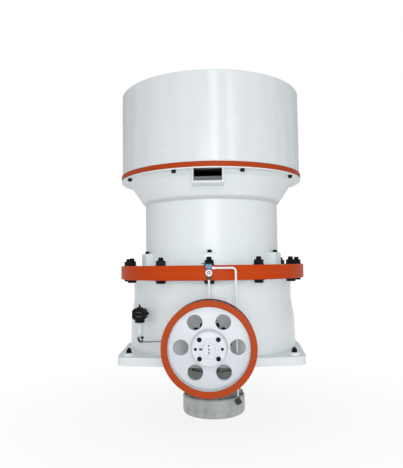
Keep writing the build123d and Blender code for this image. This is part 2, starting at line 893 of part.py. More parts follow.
def make_taper_bush():
    ring_r = counter_r + bush_ring_out
    bore_r = counter_r + seat_gap
    bush = turned_bar([
        (bore_r, sheave_front_y),
        (bush_flange_r - bush_bevel, sheave_front_y),
        (bush_flange_r, sheave_front_y + bush_bevel),
        (bush_flange_r, bush_seat_y),
        (bush_r, bush_seat_y),
        (bush_r - bush_taper, sheave_back_y),
        (bore_r, sheave_back_y),
    ])
    bush -= bar(ring_r + bush_ring_w, sheave_front_y - over, sheave_front_y + bush_ring_w) - bar(
        ring_r, sheave_front_y - 2 * over, sheave_front_y + 2 * bush_ring_w)
    bush -= round_the_shaft(bush_pcd_r, bush_screw_r, sheave_front_y - over, bush_seat_y, bush_screws, 45)
    return bush - round_the_shaft(bush_pcd_r, bush_jack_r, sheave_front_y - over, bush_seat_y, 2)


def shell_outside(gap):
    """The lower shell's outer form without its hollow, larger by a gap."""
    return turned([
        (0, foot_t),
        (shell_foot_r + gap, foot_t),
        (shell_waist_r + gap, waist_z, shell_sweep),
        (shell_neck_r + gap, neck_z, shell_sweep),
        (shell_neck_r + gap, flange_z),
        (0, flange_z),
    ])


def housing_form(gap):
    """A plain bar round the countershaft housing, for what is screwed into its side."""
    return bar(housing_r + gap, housing_nose_y, housing_flange_y)


def make_gauge_cock():
    """The cock that carries the gauge, on the rim of the main flange."""
    z0 = cock_z - cock_h / 2
    z1 = cock_z + cock_h / 2
    body = across([
        (-flange_r, z0),
        (pipe_y - cock_d / 2, z0, cock_bevel),
        (pipe_y - cock_d / 2, z1, cock_bevel),
        (-flange_r, z1),
    ], cock_w)
    return body - disc(flange_r + seat_gap, flange_z, flange_top_z + cock_h)


def make_cock_lever():
    z0 = cock_z + cock_h / 2
    pin = Pos(0, pipe_y, 0) * disc(lever_w / 2, z0, z0 + 2 * lever_t)
    return pin + block(-lever_l, lever_w / 2, pipe_y - lever_w / 2, pipe_y + lever_w / 2, z0, z0 + lever_t)


def make_pressure_gauge():
    """The dial case, and the stub that hangs it from the cock."""
    front_y = pipe_y - gauge_t / 2
    back_y = pipe_y + gauge_t / 2
    case = turned_bar([
        (0, front_y),
        (gauge_r - gauge_bevel, front_y),
        (gauge_r, front_y + gauge_bevel),
        (gauge_r, back_y),
        (0, back_y),
    ])
    stub = Pos(0, pipe_y, 0) * disc(pipe_r, gauge_z, cock_z - cock_h / 2)
    return Pos(0, 0, gauge_z - counter_z) * case + stub


def make_feed_pipe():
    """From the gauge down to the top of the countershaft housing."""
    top_z = gauge_z - gauge_r
    line = pipe([(0, pipe_y, top_z), (0, pipe_y, counter_z)], pipe_r, pipe_bend)
    nut = Pos(0, pipe_y, 0) * disc(fitting_r, counter_z, counter_z + housing_r + fitting_h)
    collar = Pos(0, pipe_y, 0) * disc(fitting_r, top_z - fitting_h, top_z)
    return line + nut + collar - housing_form(seat_gap)


def make_return_pipe():
    """From the cock along the flange's rim, then down and into the side of the countershaft housing."""
    start_x = cock_w / 2
    foot_z = counter_z - return_drop
    line = pipe([(start_x, pipe_y, run_z), (pipe_run_x, pipe_y, run_z), (pipe_run_x, pipe_y, foot_z),
                 (0, pipe_y, foot_z)], pipe_r, pipe_bend)
    nut = Pos(0, pipe_y, foot_z) * Rot(0, 90, 0) * disc(fitting_r, 0, housing_r + fitting_h)
    collar = Pos(0, pipe_y, run_z) * Rot(0, 90, 0) * disc(fitting_r * 0.8, start_x, start_x + fitting_h)
    return line + nut + collar - housing_form(seat_gap)


def make_air_unit():
    """Air unit with a knob on top and a pointed port at its side."""
    z0 = unit_z - unit_h / 2
    z1 = unit_z + unit_h / 2
    half = unit_w / 2
    body = along([
        (-half, z0 + unit_bevel),
        (-half, z1 - unit_bevel, unit_bevel / 2),
        (-half + unit_cap_in, z1),
        (half - unit_cap_in, z1),
        (half, z1 - unit_bevel, unit_bevel / 2),
        (half, z0 + unit_bevel, unit_bevel / 2),
        (half - unit_cap_in, z0),
        (-half + unit_cap_in, z0),
    ], -unit_d / 2, unit_d / 2)
    cap = disc(half - unit_cap_in - unit_bevel, z1, z1 + unit_cap_h)
    port = Pos(half + unit_port_l / 2, 0, unit_z + unit_port_rise - unit_bevel) * Rot(0, 90, 0) * Cone(
        unit_port_r, unit_port_r / 2, unit_port_l)
    knob = disc(unit_knob_r, z1, z1 + unit_knob_h)
    collar = disc(unit_collar_r, z0 - unit_collar_h, z0)
    return unit_place * (body + cap + port + knob + collar)


def make_air_bowl():
    bowl = turned([(0, bowl_foot_z), (bowl_r, bowl_foot_z, bowl_bend), (bowl_r, bowl_top_z), (0, bowl_top_z)])
    return unit_place * bowl


def make_unit_bracket():
    bracket = unit_place * block(-bracket_w / 2, bracket_w / 2, unit_d / 2, unit_r - shell_bore_r,
                                 unit_z - bracket_h / 2, unit_z + bracket_h / 2)
    return bracket - shell_outside(seat_gap)


def make_air_pipe():
    """From the bowl down, then past the shell to the countershaft housing."""
    turn = math.radians(unit_turn)
    x = unit_r * math.sin(turn) - air_pipe_in
    y = -unit_r * math.cos(turn)
    z = bowl_foot_z - air_pipe_drop
    pass_x = -housing_flange_r - air_pipe_pass
    pass_y = housing_flange_y - air_pipe_pass
    middle = (-housing_flange_r - air_pipe_mid_out, housing_flange_y + air_pipe_mid_back,
              counter_z + air_pipe_mid_up)
    end_z = counter_z + air_pipe_up
    points = [(x, y, bowl_foot_z), (x, y, z), middle, (pass_x, pass_y, end_z), (0, pass_y, end_z)]
    return pipe(points, air_pipe_r, air_pipe_bend) - housing_form(seat_gap)


def make_drain_cock():
    """Cock beside the drum with its lever, and the stub that joins it to the drum."""
    z0 = drain_z - drain_h / 2
    z1 = drain_z + drain_h / 2
    body = turned([
        (0, z0),
        (drain_r - drain_bevel, z0),
        (drain_r, z0 + drain_bevel),
        (drain_r, z1 - drain_bevel),
        (drain_r - drain_bevel, z1),
        (0, z1),
    ])
    stem_y = -drain_place_r - drain_r - drain_stem_l
    cock = Pos(0, -drain_place_r, 0) * body
    cock += bar(drain_stub_r, -drain_place_r, -drum_r / 2, 0, drain_z) - disc(drum_r + seat_gap, z0, z1)
    cock += bar(drain_lever_w / 2, stem_y, -drain_place_r, 0, drain_z)
    lever = block(-drain_lever_w / 2, drain_lever_w / 2, stem_y - drain_lever_t, stem_y,
                  -drain_lever_w / 2, drain_lever_l)
    cock += Pos(0, 0, drain_z) * Rot(0, drain_lever_turn, 0) * lever
    return drain_place * cock


def make_drain_pipe():
    """From the drain cock up, then into the neck."""
    z0 = drain_z + drain_h / 2
    z1 = neck_band_z - neck_band_t - drain_pipe_drop
    line = pipe([(0, -drain_place_r, z0), (0, -drain_place_r, z1), (0, -neck_r / 2, z1)],
                drain_pipe_r, drain_pipe_bend)
    return drain_place * (line - disc(neck_r + seat_gap, z0, z1 + drain_place_r))


nodes = {
    "foot_plate": make_foot_plate(),
    "bottom_shell": make_bottom_shell(),
    "shell_liner": make_shell_liner(),
    "bottom_hub": make_bottom_hub(),
    "hub_arms": make_hub_arms(),
    "arm_liners": make_arm_liners(),
    "lower_flange": make_flange_ring(flange_z, liner_bore_r),
    "upper_flange": make_flange_ring(flange_mid_z, chamber_r),
    "top_shell": make_top_shell(),
    "clamp_lugs": make_clamp_lugs(),
    "hopper_ring": make_hopper_ring(),
    "feed_hopper": make_feed_hopper(),
    "spider": make_spider(),
    "spider_cap": make_spider_cap(),
    "arm_shields": make_arm_shields(),
    "concave": make_concave(),
    "mantle": make_mantle(),
    "crusher_head": make_head(),
    "head_nut": make_head_nut(),
    "main_shaft": make_main_shaft(),
    "dust_collar": make_dust_collar(),
    "eccentric_sleeve": make_eccentric_sleeve(),
    "cylinder_neck": make_cylinder_neck(),
    "neck_ribs": make_neck_ribs(),
    "cylinder_drum": make_cylinder_drum(),
    "cylinder_cover": make_cylinder_cover(),
    "countershaft_housing": make_countershaft_housing(),
    "end_cover": make_end_cover(),
    "countershaft": make_countershaft(),
    "sheave_rim": make_sheave_rim(),
    "sheave_web": make_sheave_web(),
    "taper_bush": make_taper_bush(),
    "gauge_cock": make_gauge_cock(),
    "cock_lever": make_cock_lever(),
    "pressure_gauge": make_pressure_gauge(),
    "feed_pipe": make_feed_pipe(),
    "return_pipe": make_return_pipe(),
    "air_unit": make_air_unit(),
    "air_bowl": make_air_bowl(),
    "unit_bracket": make_unit_bracket(),
    "air_pipe": make_air_pipe(),
    "drain_cock": make_drain_cock(),
    "drain_pipe": make_drain_pipe(),
}
for name, shape in nodes.items():
    export_step(shape, f"parts/{name}.step")
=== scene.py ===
"""Looks of the cone crusher: paint, cast and turned surfaces, bolts, welds, gauge and small fittings.

Lengths are metres in the crusher's own frame: Z is its axis and the countershaft points along -Y.
"""
import json
import math

import bpy
from mathutils import Matrix, Vector


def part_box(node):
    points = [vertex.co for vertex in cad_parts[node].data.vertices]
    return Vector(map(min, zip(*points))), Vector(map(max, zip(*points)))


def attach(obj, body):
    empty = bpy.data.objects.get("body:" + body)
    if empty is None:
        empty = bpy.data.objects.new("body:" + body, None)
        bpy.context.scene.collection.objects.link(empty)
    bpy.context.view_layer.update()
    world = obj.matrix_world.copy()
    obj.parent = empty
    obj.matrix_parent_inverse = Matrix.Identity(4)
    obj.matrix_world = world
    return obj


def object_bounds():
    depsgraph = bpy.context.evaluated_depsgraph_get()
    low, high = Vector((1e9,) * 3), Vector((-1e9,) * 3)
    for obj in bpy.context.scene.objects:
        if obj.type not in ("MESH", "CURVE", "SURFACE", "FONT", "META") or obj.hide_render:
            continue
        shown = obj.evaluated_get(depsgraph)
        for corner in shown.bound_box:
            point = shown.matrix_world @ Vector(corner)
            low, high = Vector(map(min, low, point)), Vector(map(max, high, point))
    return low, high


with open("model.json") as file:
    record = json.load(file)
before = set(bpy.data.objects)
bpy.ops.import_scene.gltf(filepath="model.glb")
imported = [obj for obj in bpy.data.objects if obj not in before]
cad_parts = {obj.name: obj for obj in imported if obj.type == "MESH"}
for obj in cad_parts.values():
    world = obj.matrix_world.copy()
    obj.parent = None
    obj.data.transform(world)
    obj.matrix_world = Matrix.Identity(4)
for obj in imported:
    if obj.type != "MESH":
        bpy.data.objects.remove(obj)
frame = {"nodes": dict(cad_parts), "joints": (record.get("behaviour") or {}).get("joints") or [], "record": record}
cad_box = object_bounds()
nodes = frame["nodes"]

# Camera, fitted to the outlines of the turned forms in the photograph
CAMERA_DISTANCE = 4.4915
CAMERA_HEIGHT = 0.7647
CAMERA_TURN = 0.0284        # radians round the crusher from the front
CAMERA_PAN = 0.0484         # radians, turned to the left
CAMERA_PITCH = 0.0598
CAMERA_ROLL = -0.0132
CAMERA_LENS = 38.554        # millimetres on a 36 mm sensor

# Paints and metals, as linear colours
BODY_PALE = (0.79, 0.83, 0.84)
PLATE_PALE = (0.745, 0.785, 0.80)
WEB_PALE = (0.66, 0.69, 0.725)
ORANGE = (0.55, 0.057, 0.004)
RING_ORANGE = (0.43, 0.058, 0.010)
RIM_ORANGE = (0.42, 0.055, 0.006)
JOINT_HIGHLIGHT_ORANGE = (0.68, 0.10, 0.03)
CYLINDER_GREY = (0.63, 0.645, 0.645)
NECK_SHADE_GREY = (0.20, 0.205, 0.20)
PIPE_PALE = (0.82, 0.84, 0.86)
COCK_BLUE = (0.008, 0.115, 0.27)
# Painted shade colour: the sheave's shadow with belt dust, and the corner at the cone's foot
SHADE_AND_DUST_GREY = (0.30, 0.31, 0.32)
BLACK = (0.004, 0.004, 0.006)
WEAR_STEEL = (0.15, 0.145, 0.14)
BRIGHT_STEEL = (0.52, 0.52, 0.53)
DIAL_WHITE = (0.82, 0.84, 0.86)
DIAL_BLUE = (0.02, 0.03, 0.10)
BOWL_MILK = (0.74, 0.78, 0.79)
# Painted shade in the window pockets, grey at the sill and near black deeper in
POCKET_SHADE_GREY = (0.16, 0.165, 0.175)
POCKET_DEEP_SHADE = (0.012, 0.012, 0.013)
GROOVE_DARK = (0.035, 0.037, 0.045)
GROOVE_WORN = (0.075, 0.078, 0.085)
WEAR_BROWN = (0.21, 0.19, 0.17)
WEAR_RUBBED = (0.36, 0.35, 0.34)
PIPE_STEEL = (0.36, 0.365, 0.37)
RIB_STEEL = (0.13, 0.13, 0.135)
BLACK_WEAR_GLINT = (0.08, 0.08, 0.085)
BRONZE = (0.060, 0.062, 0.045)
BRONZE_WEAR_GLINT = (0.2, 0.16, 0.08)
KNOB_GREY = (0.055, 0.056, 0.06)
KNOB_WEAR_GLINT = (0.16, 0.16, 0.17)
BOWL_DEEP = (0.64, 0.70, 0.71)
GLASS = (0.95, 0.97, 0.97)
FLOOR_PALE = (0.86, 0.86, 0.87)
STUDIO_LIGHT = (0.96, 0.98, 1.0)
WHITE = (1.0, 1.0, 1.0)

# Studs with a nut: across flats, nut height, thread radius, how far the stud stands out
FLANGE_NUT = (0.065, 0.034, 0.021, 0.063)
RING_NUT = (0.030, 0.018, 0.010, 0.028)
ANCHOR_NUT = (0.036, 0.0215, 0.012, 0.037)

# Bolts with a head: across flats, head height, washer thickness
FLANGE_HEAD = (0.065, 0.019, 0.006)
FLANGE_WASHER_R = 0.044
LUG_BOLT = (0.032, 0.017, 0.004)
RING_BOLT = (0.030, 0.0187, 0.004)
HOUSING_BOLT = (0.030, 0.0125, 0.003)
CAP_BOLT = (0.024, 0.010, 0.0025)
NECK_BOLT = (0.036, 0.015, 0.003)

# Socket screws: head radius, head height, socket across flats
END_COVER_SCREW = (0.0065, 0.008, 0.006)
DRUM_SCREW = (0.011, 0.012, 0.010)
BUSH_SCREW = (0.0165, 0.006, 0.016)
BUSH_PLUG = (0.0105, 0.0035, 0.009)

# How many there are, or where they stand, in degrees from the front or from the right
FLANGE_STUDS = 12
LUGS = 6
RING_BOLT_TURNS = (-60, -20, 20, 60, 120, 160, 200, 240)
HOUSING_BOLTS = 16
CAP_BOLTS = 8
NECK_BOLTS = 12
DRUM_SCREWS = 12
END_COVER_SCREWS = 6
BUSH_SCREW_TURNS = (45, 135, 225, 315)
BUSH_PLUG_TURNS = (0, 180)

# How far each bolt circle lies inside its piece's rim
FLANGE_STUDS_IN = 0.05
LUG_BOLTS_IN = 0.031
RING_BOLTS_IN = 0.028
HOUSING_BOLTS_IN = 0.019
END_COVER_SCREWS_IN = 0.014
CAP_BOLTS_IN = 0.02
NECK_BOLTS_IN = 0.024
DRUM_SCREWS_IN = 0.0165
BUSH_SCREWS_R = 0.092       # the circle's own radius

# Faces that bolts seat on, where a node's box doesn't give them
TOP_FLANGE_T = 0.010        # under the hopper ring
HOUSING_SEAT_BACK = 0.046   # behind the housing's front
CAP_RIM_T = 0.026           # above the spider cap's foot
NECK_FLANGE_T = 0.044       # below the cylinder neck's top

# Key beside the countershaft's end
SHAFT_KEY_SIZE = (0.024, 0.004, 0.014)
SHAFT_KEY_OUT = 0.009

# Window pockets at the ends of the spider's front and back arms, and the cast boxes round them
POCKET_HALF_W = 0.107
POCKET_DEPTH = 0.115
POCKET_SILL_DEPTH = 0.042
POCKET_SILL_H = 0.043
POCKET_FRAME = 0.012
POCKET_FALL = 0.008         # the box's underside falls by this towards the cone
POCKET_BACK_Y = -0.636      # the box ends inside the cone's wall
POCKET_FACE_IN = 0.006      # the box's face, in from the top flange's rim
POCKET_H = 0.096
POCKET_ROOF = 0.012
POCKET_BEVEL = 0.005
POCKET_ROOF_LAP = 0.0025    # the box's walls reach this far up into the flange
POCKET_LIP = 0.011          # the body's paint covers the sill's lowest strip
POCKET_SIDE_DARK = 0.0006   # the pocket's painted shade reaches this far into its side walls
POCKET_ROOF_DARK = 0.0028   # and this far into its roof
POCKET_MOUTH = (0.0015, 0.008)      # depths over which the dark sets in
POCKET_DARK_END = 0.16      # depth at which it ends
POCKET_DEEPER = (0.001, 0.012)      # stretch behind the sill over which it deepens

RIM_PAINT_IN = 0.0055       # the orange paint reaches this far over a rim's bevel
SHEAVE_FACE_T = 0.0035      # and on the sheave's rim this far in from its two faces
JOINT_HIGHLIGHT_LINE = (0.0035, 0.0065)        # half width of the painted highlight along the flange joint, full and faded

# Air pipe below the filter bowl, and the ribs on the air unit
AIR_PIPE_IN = 0.012
AIR_PIPE_DROP = 0.0405
AIR_PIPE_TURN = -31         # degrees, the way its level stretch leaves the bend
AIR_BEND_R = 0.030
AIR_ELBOW_R = 0.0095
DRAIN_KNOB_OUT = 0.010      # past the bend
UNIT_RIB_SIZE = (0.042, 0.004, 0.006)
UNIT_RIB_RISES = (0.048, 0.080)     # above the air unit's foot
UNIT_RIB_LEFT = 0.002
UNIT_RIB_OUT = 0.001

# Pressure gauge: radii as shares of the gauge's own, thicknesses in metres
BEZEL_R = 0.97
BEZEL_BORE = 0.74
BEZEL_FACE = (0.8, 0.9)
BEZEL_T = 0.0045
DIAL_R = 0.76
DIAL_T = 0.0008
DIAL_TICKS = 24
DIAL_TICK_HALF = 0.035      # radians
DIAL_SWEEP = 137            # degrees to each side of the top
DIAL_TICK_REACH = (0.58, 0.68)
DIAL_RING = (0.22, 0.5)
NEEDLE_LENGTH = 0.62
NEEDLE_FOOT_R = 0.0011
NEEDLE_TIP_R = 0.0003
NEEDLE_TURN = -40           # degrees from the top
NEEDLE_OUT = 0.0014         # in front of the gauge's face
GAUGE_GLASS_R = 0.75
GAUGE_GLASS_OUT = 0.0026
GAUGE_UNION = (0.031, 0.022)        # across flats, height
GAUGE_UNION_DROP = 0.024

# Painted shade in the corner at the cone's foot
CONE_DROP = 0.214           # from the top flange down to the cone's foot
CONE_FOOT_SHADE = 0.42           # share of painted shade there
SHADE_BELOW_FOOT = 0.012
SHADE_ABOVE_FOOT = 0.010
SHADE_FADE_TOP = 0.034

# Painted shadow of the sheave on the shell, together with belt dust: its reach in radii of the sheave, and its
# share of the paint
DUST_SHADE_REACH = (0.6, 0.98)
DUST_SHADE_SHARE = 0.66
DUST_SHADE_FRONT_Y = -0.5         # no painted shadow or dust behind this

# Tapped holes in the countershaft's end
SHAFT_TAP_R = 0.0055
SHAFT_TAP_PITCH = 0.024

# Welds on the hopper
SEAM_WELD_W = 0.011
SEAM_WELD_T = 0.007
SEAM_WELD_OUT = 0.0005
SEAM_WELD_SHORT = 0.004     # shorter than the plate by this
FOOT_WELD_LEG = 0.007

# Floor and world
FLOOR_DROP = 0.002          # below the lowest point of the crusher
FLOOR_FADE = (0.5, 2.4)     # distances over which the shadow fades to white
FLOOR_FADE_SHARE = (0.86, 1.0)
WORLD_STRENGTH = 0.57

# Softboxes: name, place, aim, width, height, watts
SOFTBOXES = (
    ("front_softbox", (0.20, -5.4, 0.95), (0, 0, 0.7), 1.9, 2.7, 83),
    ("upper_softbox", (0.55, -5.4, 3.3), (0, 0, 1.9), 0.9, 2.0, 16),
    ("streak_softbox", (2.6, -5.4, 3.3), (0, 0, 1.9), 0.8, 2.0, 12),
    ("left_fill", (-4.6, -3.0, 0.3), (0, 0, 0.4), 1.4, 1.8, 8),
    ("right_fill", (4.6, -3.0, 0.3), (0, 0, 0.4), 1.4, 1.8, 8),
)


def top(node):
    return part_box(node)[1].z


def foot(node):
    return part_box(node)[0].z


def outer_r(node):
    """Radius of a node that is turned about the crusher's axis or the countershaft's."""
    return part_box(node)[1].x


def front(node):
    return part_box(node)[0].y


# Places taken from the frame
shaft_z = frame["joints"][0]["pos_m"][2]
pocket_roof = top("top_shell") - POCKET_ROOF
pocket_foot = pocket_roof - POCKET_H
pocket_face_r = outer_r("top_shell") - POCKET_FACE_IN


def around(count, first=0.0):
    """Angles, in degrees, evenly spaced over a whole turn."""
    return [first + 360 / count * i for i in range(count)]


def deselect():
    bpy.ops.object.select_all(action="DESELECT")


def pick(piece):
    deselect()
    piece.select_set(True)
    bpy.context.view_layer.objects.active = piece


def named(name):
    """Names the object that an operator has just made."""
    piece = bpy.context.object
    piece.name = name
    piece.data.name = name
    return piece


def smooth(piece, angle=35):
    pick(piece)
    bpy.ops.object.shade_smooth_by_angle(angle=math.radians(angle))


def apply(piece, kind, **settings):
    """Adds a modifier, sets it and applies it."""
    pick(piece)
    modifier = piece.modifiers.new(kind.lower(), kind)
    for key, value in settings.items():
        setattr(modifier, key, value)
    bpy.ops.object.modifier_apply(modifier=modifier.name)


def bake(piece):
    """Leaves a piece's place and turn in its mesh."""
    pick(piece)
    bpy.ops.object.transform_apply(location=True, rotation=True, scale=True)
    return piece


def settle(piece, turn=(0, 0, 0), at=(0, 0, 0)):
    """Turns a piece that lies at the origin, in degrees, and moves it to its place."""
    piece.rotation_euler = [math.radians(a) for a in turn]
    piece.location = at
    return bake(piece)


def copy_of(piece, name):
    pick(piece)
    bpy.ops.object.duplicate(linked=False)
    return named(name)


def discard(piece):
    bpy.data.meshes.remove(piece.data)


def finish_piece(piece, material, body="frame"):
    piece.data.materials.clear()
    piece.data.materials.append(material)
    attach(piece, body)


def turned(name, outline, steps):
    """A piece turned about Z: one point is extruded along (radius, height) points, then spun."""
    deselect()
    bpy.ops.mesh.primitive_plane_add(size=0.01)
    piece = named(name)
    bpy.ops.object.mode_set(mode="EDIT")
    bpy.ops.mesh.merge(type="CENTER")
    here = Vector((outline[0][0], 0, outline[0][1]))
    bpy.ops.transform.translate(value=here)
    for r, z in outline[1:]:
        there = Vector((r, 0, z))
        bpy.ops.mesh.extrude_region_move(TRANSFORM_OT_translate={"value": there - here})
        here = there
    bpy.ops.mesh.select_all(action="SELECT")
    bpy.ops.mesh.spin(steps=steps, angle=math.tau, center=(0, 0, 0), axis=(0, 0, 1))
    bpy.ops.mesh.select_all(action="SELECT")
    bpy.ops.mesh.remove_doubles(threshold=1e-5)
    bpy.ops.mesh.normals_make_consistent(inside=False)
    bpy.ops.object.mode_set(mode="OBJECT")
    smooth(piece)
    return piece


def hexagon(name, across, height):
    """A six-sided nut or head standing on z = 0, with its upper corners turned off."""
    deselect()
    corner = across / math.sqrt(3)
    flat_r = across * 0.47
    bpy.ops.mesh.primitive_cylinder_add(vertices=6, radius=corner, depth=height,
                                        location=(0, 0, height / 2))
    piece = bake(named(name))
    chamfer = (corner - flat_r) * math.tan(math.radians(30))
    former = turned(name + "_former", [
        (0, -height), (corner * 1.02, -height), (corner * 1.02, height - chamfer),
        (flat_r, height), (0, height),
    ], 36)
    apply(piece, "BOOLEAN", operation="INTERSECT", solver="EXACT", object=former)
    discard(former)
    smooth(piece, 25)
    return piece


def bevelled_block(name, size, at, bevel):
    """A rectangular piece with rounded edges."""
    deselect()
    bpy.ops.mesh.primitive_cube_add(size=1, location=at, scale=size)
    piece = bake(named(name))
    bpy.ops.object.mode_set(mode="EDIT")
    bpy.ops.mesh.select_all(action="SELECT")
    bpy.ops.mesh.bevel(offset=bevel, segments=2)
    bpy.ops.object.mode_set(mode="OBJECT")
    smooth(piece, 40)
    return piece


def joined(name, pieces):
    deselect()
    for piece in pieces:
        piece.select_set(True)
    bpy.context.view_layer.objects.active = pieces[0]
    bpy.ops.object.join()
    return named(name)


def washer(name, r, thickness):
    edge = thickness / 5
    return turned(name, [
        (0, 0), (r, 0), (r, thickness - edge), (r - edge, thickness), (0, thickness),
    ], 32)


def threaded_end(name, r, z0, z1, pitch):
    """The end of a stud, its thread drawn as close ridges."""
    outline = [(0, z0)]
    z = z0
    while z < z1 - 1.5 * pitch:
        outline += [(r, z), (r, z + pitch * 0.3), (r - pitch * 0.5, z + pitch * 0.65)]
        z += pitch
    outline += [(r - pitch * 0.5, z), (r - pitch, z1), (0, z1)]
    return turned(name, outline, 24)


def stud_with_nut(name, size):
    across, height, r, stand_out = size
    seat = across * 0.085
    plate = washer(name + "_washer", across * 0.62, seat)
    nut = settle(hexagon(name + "_nut", across, height), at=(0, 0, seat))
    end = threaded_end(name + "_end", r, seat + height * 0.9, stand_out, r * 0.2)
    return joined(name, [nut, plate, end])


def headed_bolt(name, size, washer_r=None):
    across, height, washer_t = size
    head = settle(hexagon(name + "_head", across, height), at=(0, 0, washer_t))
    return joined(name, [head, washer(name + "_washer", washer_r or across * 0.6, washer_t)])


def cap_screw(name, size):
    """A round head with a six-sided socket, standing on z = 0."""
    r, height, socket = size
    head = turned(name, [
        (0, 0), (r, 0), (r, height - r * 0.12), (r - r * 0.12, height), (0, height),
    ], 28)
    deselect()
    bpy.ops.mesh.primitive_cylinder_add(vertices=6, radius=socket / math.sqrt(3), depth=height,
                                        location=(0, 0, height))
    key = bake(named(name + "_key"))
    apply(head, "BOOLEAN", operation="DIFFERENCE", solver="EXACT", object=key)
    discard(key)
    smooth(head, 30)
    return head


def ring_of(pattern, turns, r, z, material, upside_down=False, spin=0.0):
    """Copies of a fastener round the crusher's axis, at angles counted from the front."""
    for i, degrees in enumerate(turns):
        turn = math.radians(degrees)
        piece = copy_of(pattern, f"{pattern.name}_{i + 1:02d}")
        settle(piece, turn=(180 if upside_down else 0, 0, spin))
        settle(piece, turn=(0, 0, degrees), at=(r * math.sin(turn), -r * math.cos(turn), z))
        finish_piece(piece, material)
    discard(pattern)


def shaft_ring_of(pattern, turns, r, y, material, body="frame"):
    """Copies of a fastener round the countershaft, facing -Y, at angles from the right."""
    for i, degrees in enumerate(turns):
        turn = math.radians(degrees)
        piece = copy_of(pattern, f"{pattern.name}_{i + 1:02d}")
        settle(piece, turn=(90, 0, 0))
        settle(piece, turn=(0, -degrees, 0), at=(r * math.cos(turn), y, shaft_z + r * math.sin(turn)))
        finish_piece(piece, material, body)
    discard(pattern)


# Shader nodes
def add(tree, kind, settings=None, **sockets):
    """A shader node, each of its sockets set to a value or fed by another node's output."""
    made = tree.nodes.new(kind)
    for key, value in (settings or {}).items():
        setattr(made, key, value)
    for key, value in sockets.items():
        feed(tree, made.inputs[key.replace("_", " ")], value)
    return made


def feed(tree, socket, value):
    if isinstance(value, bpy.types.NodeSocket):
        tree.links.new(value, socket)
    else:
        socket.default_value = (*value, 1.0) if socket.type == "RGBA" and len(value) == 3 else value


def calc(tree, operation, *values):
    made = tree.nodes.new("ShaderNodeMath")
    made.operation = operation
    for socket, value in zip(made.inputs, values):
        feed(tree, socket, value)
    return made.outputs[0]


def product(tree, *values):
    result = values[0]
    for value in values[1:]:
        result = calc(tree, "MULTIPLY", result, value)
    return result


def length(tree, a, b):
    """The length of the vector (a, b)."""
    squares = calc(tree, "ADD", calc(tree, "MULTIPLY", a, a), calc(tree, "MULTIPLY", b, b))
    return calc(tree, "SQRT", squares)


def mixed(tree, mask, colour_a, colour_b):
    made = tree.nodes.new("ShaderNodeMix")
    made.data_type = "RGBA"
    for index, value in ((0, mask), (6, colour_a), (7, colour_b)):
        feed(tree, made.inputs[index], value)
    return made.outputs[2]


def between(tree, value, low, high, to_low=0.0, to_high=1.0):
    """A value mapped from one span to another and held inside it."""
    made = add(tree, "ShaderNodeMapRange", {"clamp": True}, Value=value)
    for key, number in (("From Min", low), ("From Max", high), ("To Min", to_low), ("To Max", to_high)):
        feed(tree, made.inputs[key], number)
    return made.outputs[0]


def noise(tree, vector, scale, detail=2.0, roughness=0.5):
    made = add(tree, "ShaderNodeTexNoise", Vector=vector, Scale=scale, Detail=detail, Roughness=roughness)
    return made.outputs[0]


def split(tree, vector):
    return add(tree, "ShaderNodeSeparateXYZ", Vector=vector).outputs


def object_place(tree):
    return add(tree, "ShaderNodeTexCoord").outputs["Object"]


def unrolled(tree, place, r, upright=1.0):
    """A wall round Z laid flat: the way round it, nothing, and its height times a factor."""
    x, y, z = split(tree, place)
    turn = calc(tree, "ARCTAN2", x, calc(tree, "MULTIPLY", y, -1.0))
    return add(tree, "ShaderNodeCombineXYZ", X=calc(tree, "MULTIPLY", turn, r), Y=0.0,
               Z=calc(tree, "MULTIPLY", z, upright)).outputs[0]


def bump(tree, height, distance, normal=None, strength=1.0):
    made = add(tree, "ShaderNodeBump", Distance=distance, Height=height, Strength=strength)
    if normal is not None:
        feed(tree, made.inputs["Normal"], normal)
    return made.outputs[0]


def new_group(name, inputs, outputs):
    """An empty shader group with named inputs, each with its first value, and named outputs."""
    group = bpy.data.node_groups.new(name, "ShaderNodeTree")
    kinds = {"value": "NodeSocketFloat", "colour": "NodeSocketColor", "vector": "NodeSocketVector"}
    for label, kind, value in inputs:
        socket = group.interface.new_socket(label, in_out="INPUT", socket_type=kinds[kind])
        if value is not None:
            socket.default_value = (*value, 1.0) if kind == "colour" else value
    for label, kind in outputs:
        group.interface.new_socket(label, in_out="OUTPUT", socket_type=kinds[kind])
    return group, group.nodes.new("NodeGroupInput").outputs, group.nodes.new("NodeGroupOutput").inputs


def make_paint_group():
    """Sprayed paint: soft shade changes, thin dust runs and the lumps of the casting below."""
    group, given, put = new_group("sprayed_paint", [
        ("Colour", "colour", BODY_PALE), ("Shade Change", "value", 0.04), ("Roughness", "value", 0.3),
        ("Lump Scale", "value", 22.0), ("Lump Depth", "value", 0.0004), ("Edge Radius", "value", 0.002),
    ], [("Colour", "colour"), ("Roughness", "value"), ("Normal", "vector")])
    place = object_place(group)
    clouds = noise(group, place, 2.2, 3.0)
    runs = add(group, "ShaderNodeMapping", {"vector_type": "POINT"}, Vector=place)
    runs.inputs["Scale"].default_value = (1.0, 1.0, 0.12)
    dust = noise(group, runs.outputs[0], 16.0, 4.0, 0.6)
    both = calc(group, "ADD", calc(group, "MULTIPLY", clouds, 0.6), calc(group, "MULTIPLY", dust, 0.4))
    shade = calc(group, "MULTIPLY_ADD", calc(group, "SUBTRACT", both, 0.5), given["Shade Change"], 1.0)
    tint = add(group, "ShaderNodeHueSaturation", Color=given["Colour"], Value=shade)
    group.links.new(tint.outputs[0], put["Colour"])
    gloss = calc(group, "MULTIPLY_ADD", calc(group, "SUBTRACT", dust, 0.5), 0.12, given["Roughness"])
    group.links.new(gloss, put["Roughness"])
    edge = add(group, "ShaderNodeBevel", {"samples": 4}, Radius=given["Edge Radius"]).outputs[0]
    lumps = noise(group, place, given["Lump Scale"], 2.0, 0.5)
    group.links.new(bump(group, lumps, given["Lump Depth"], edge), put["Normal"])
    return group


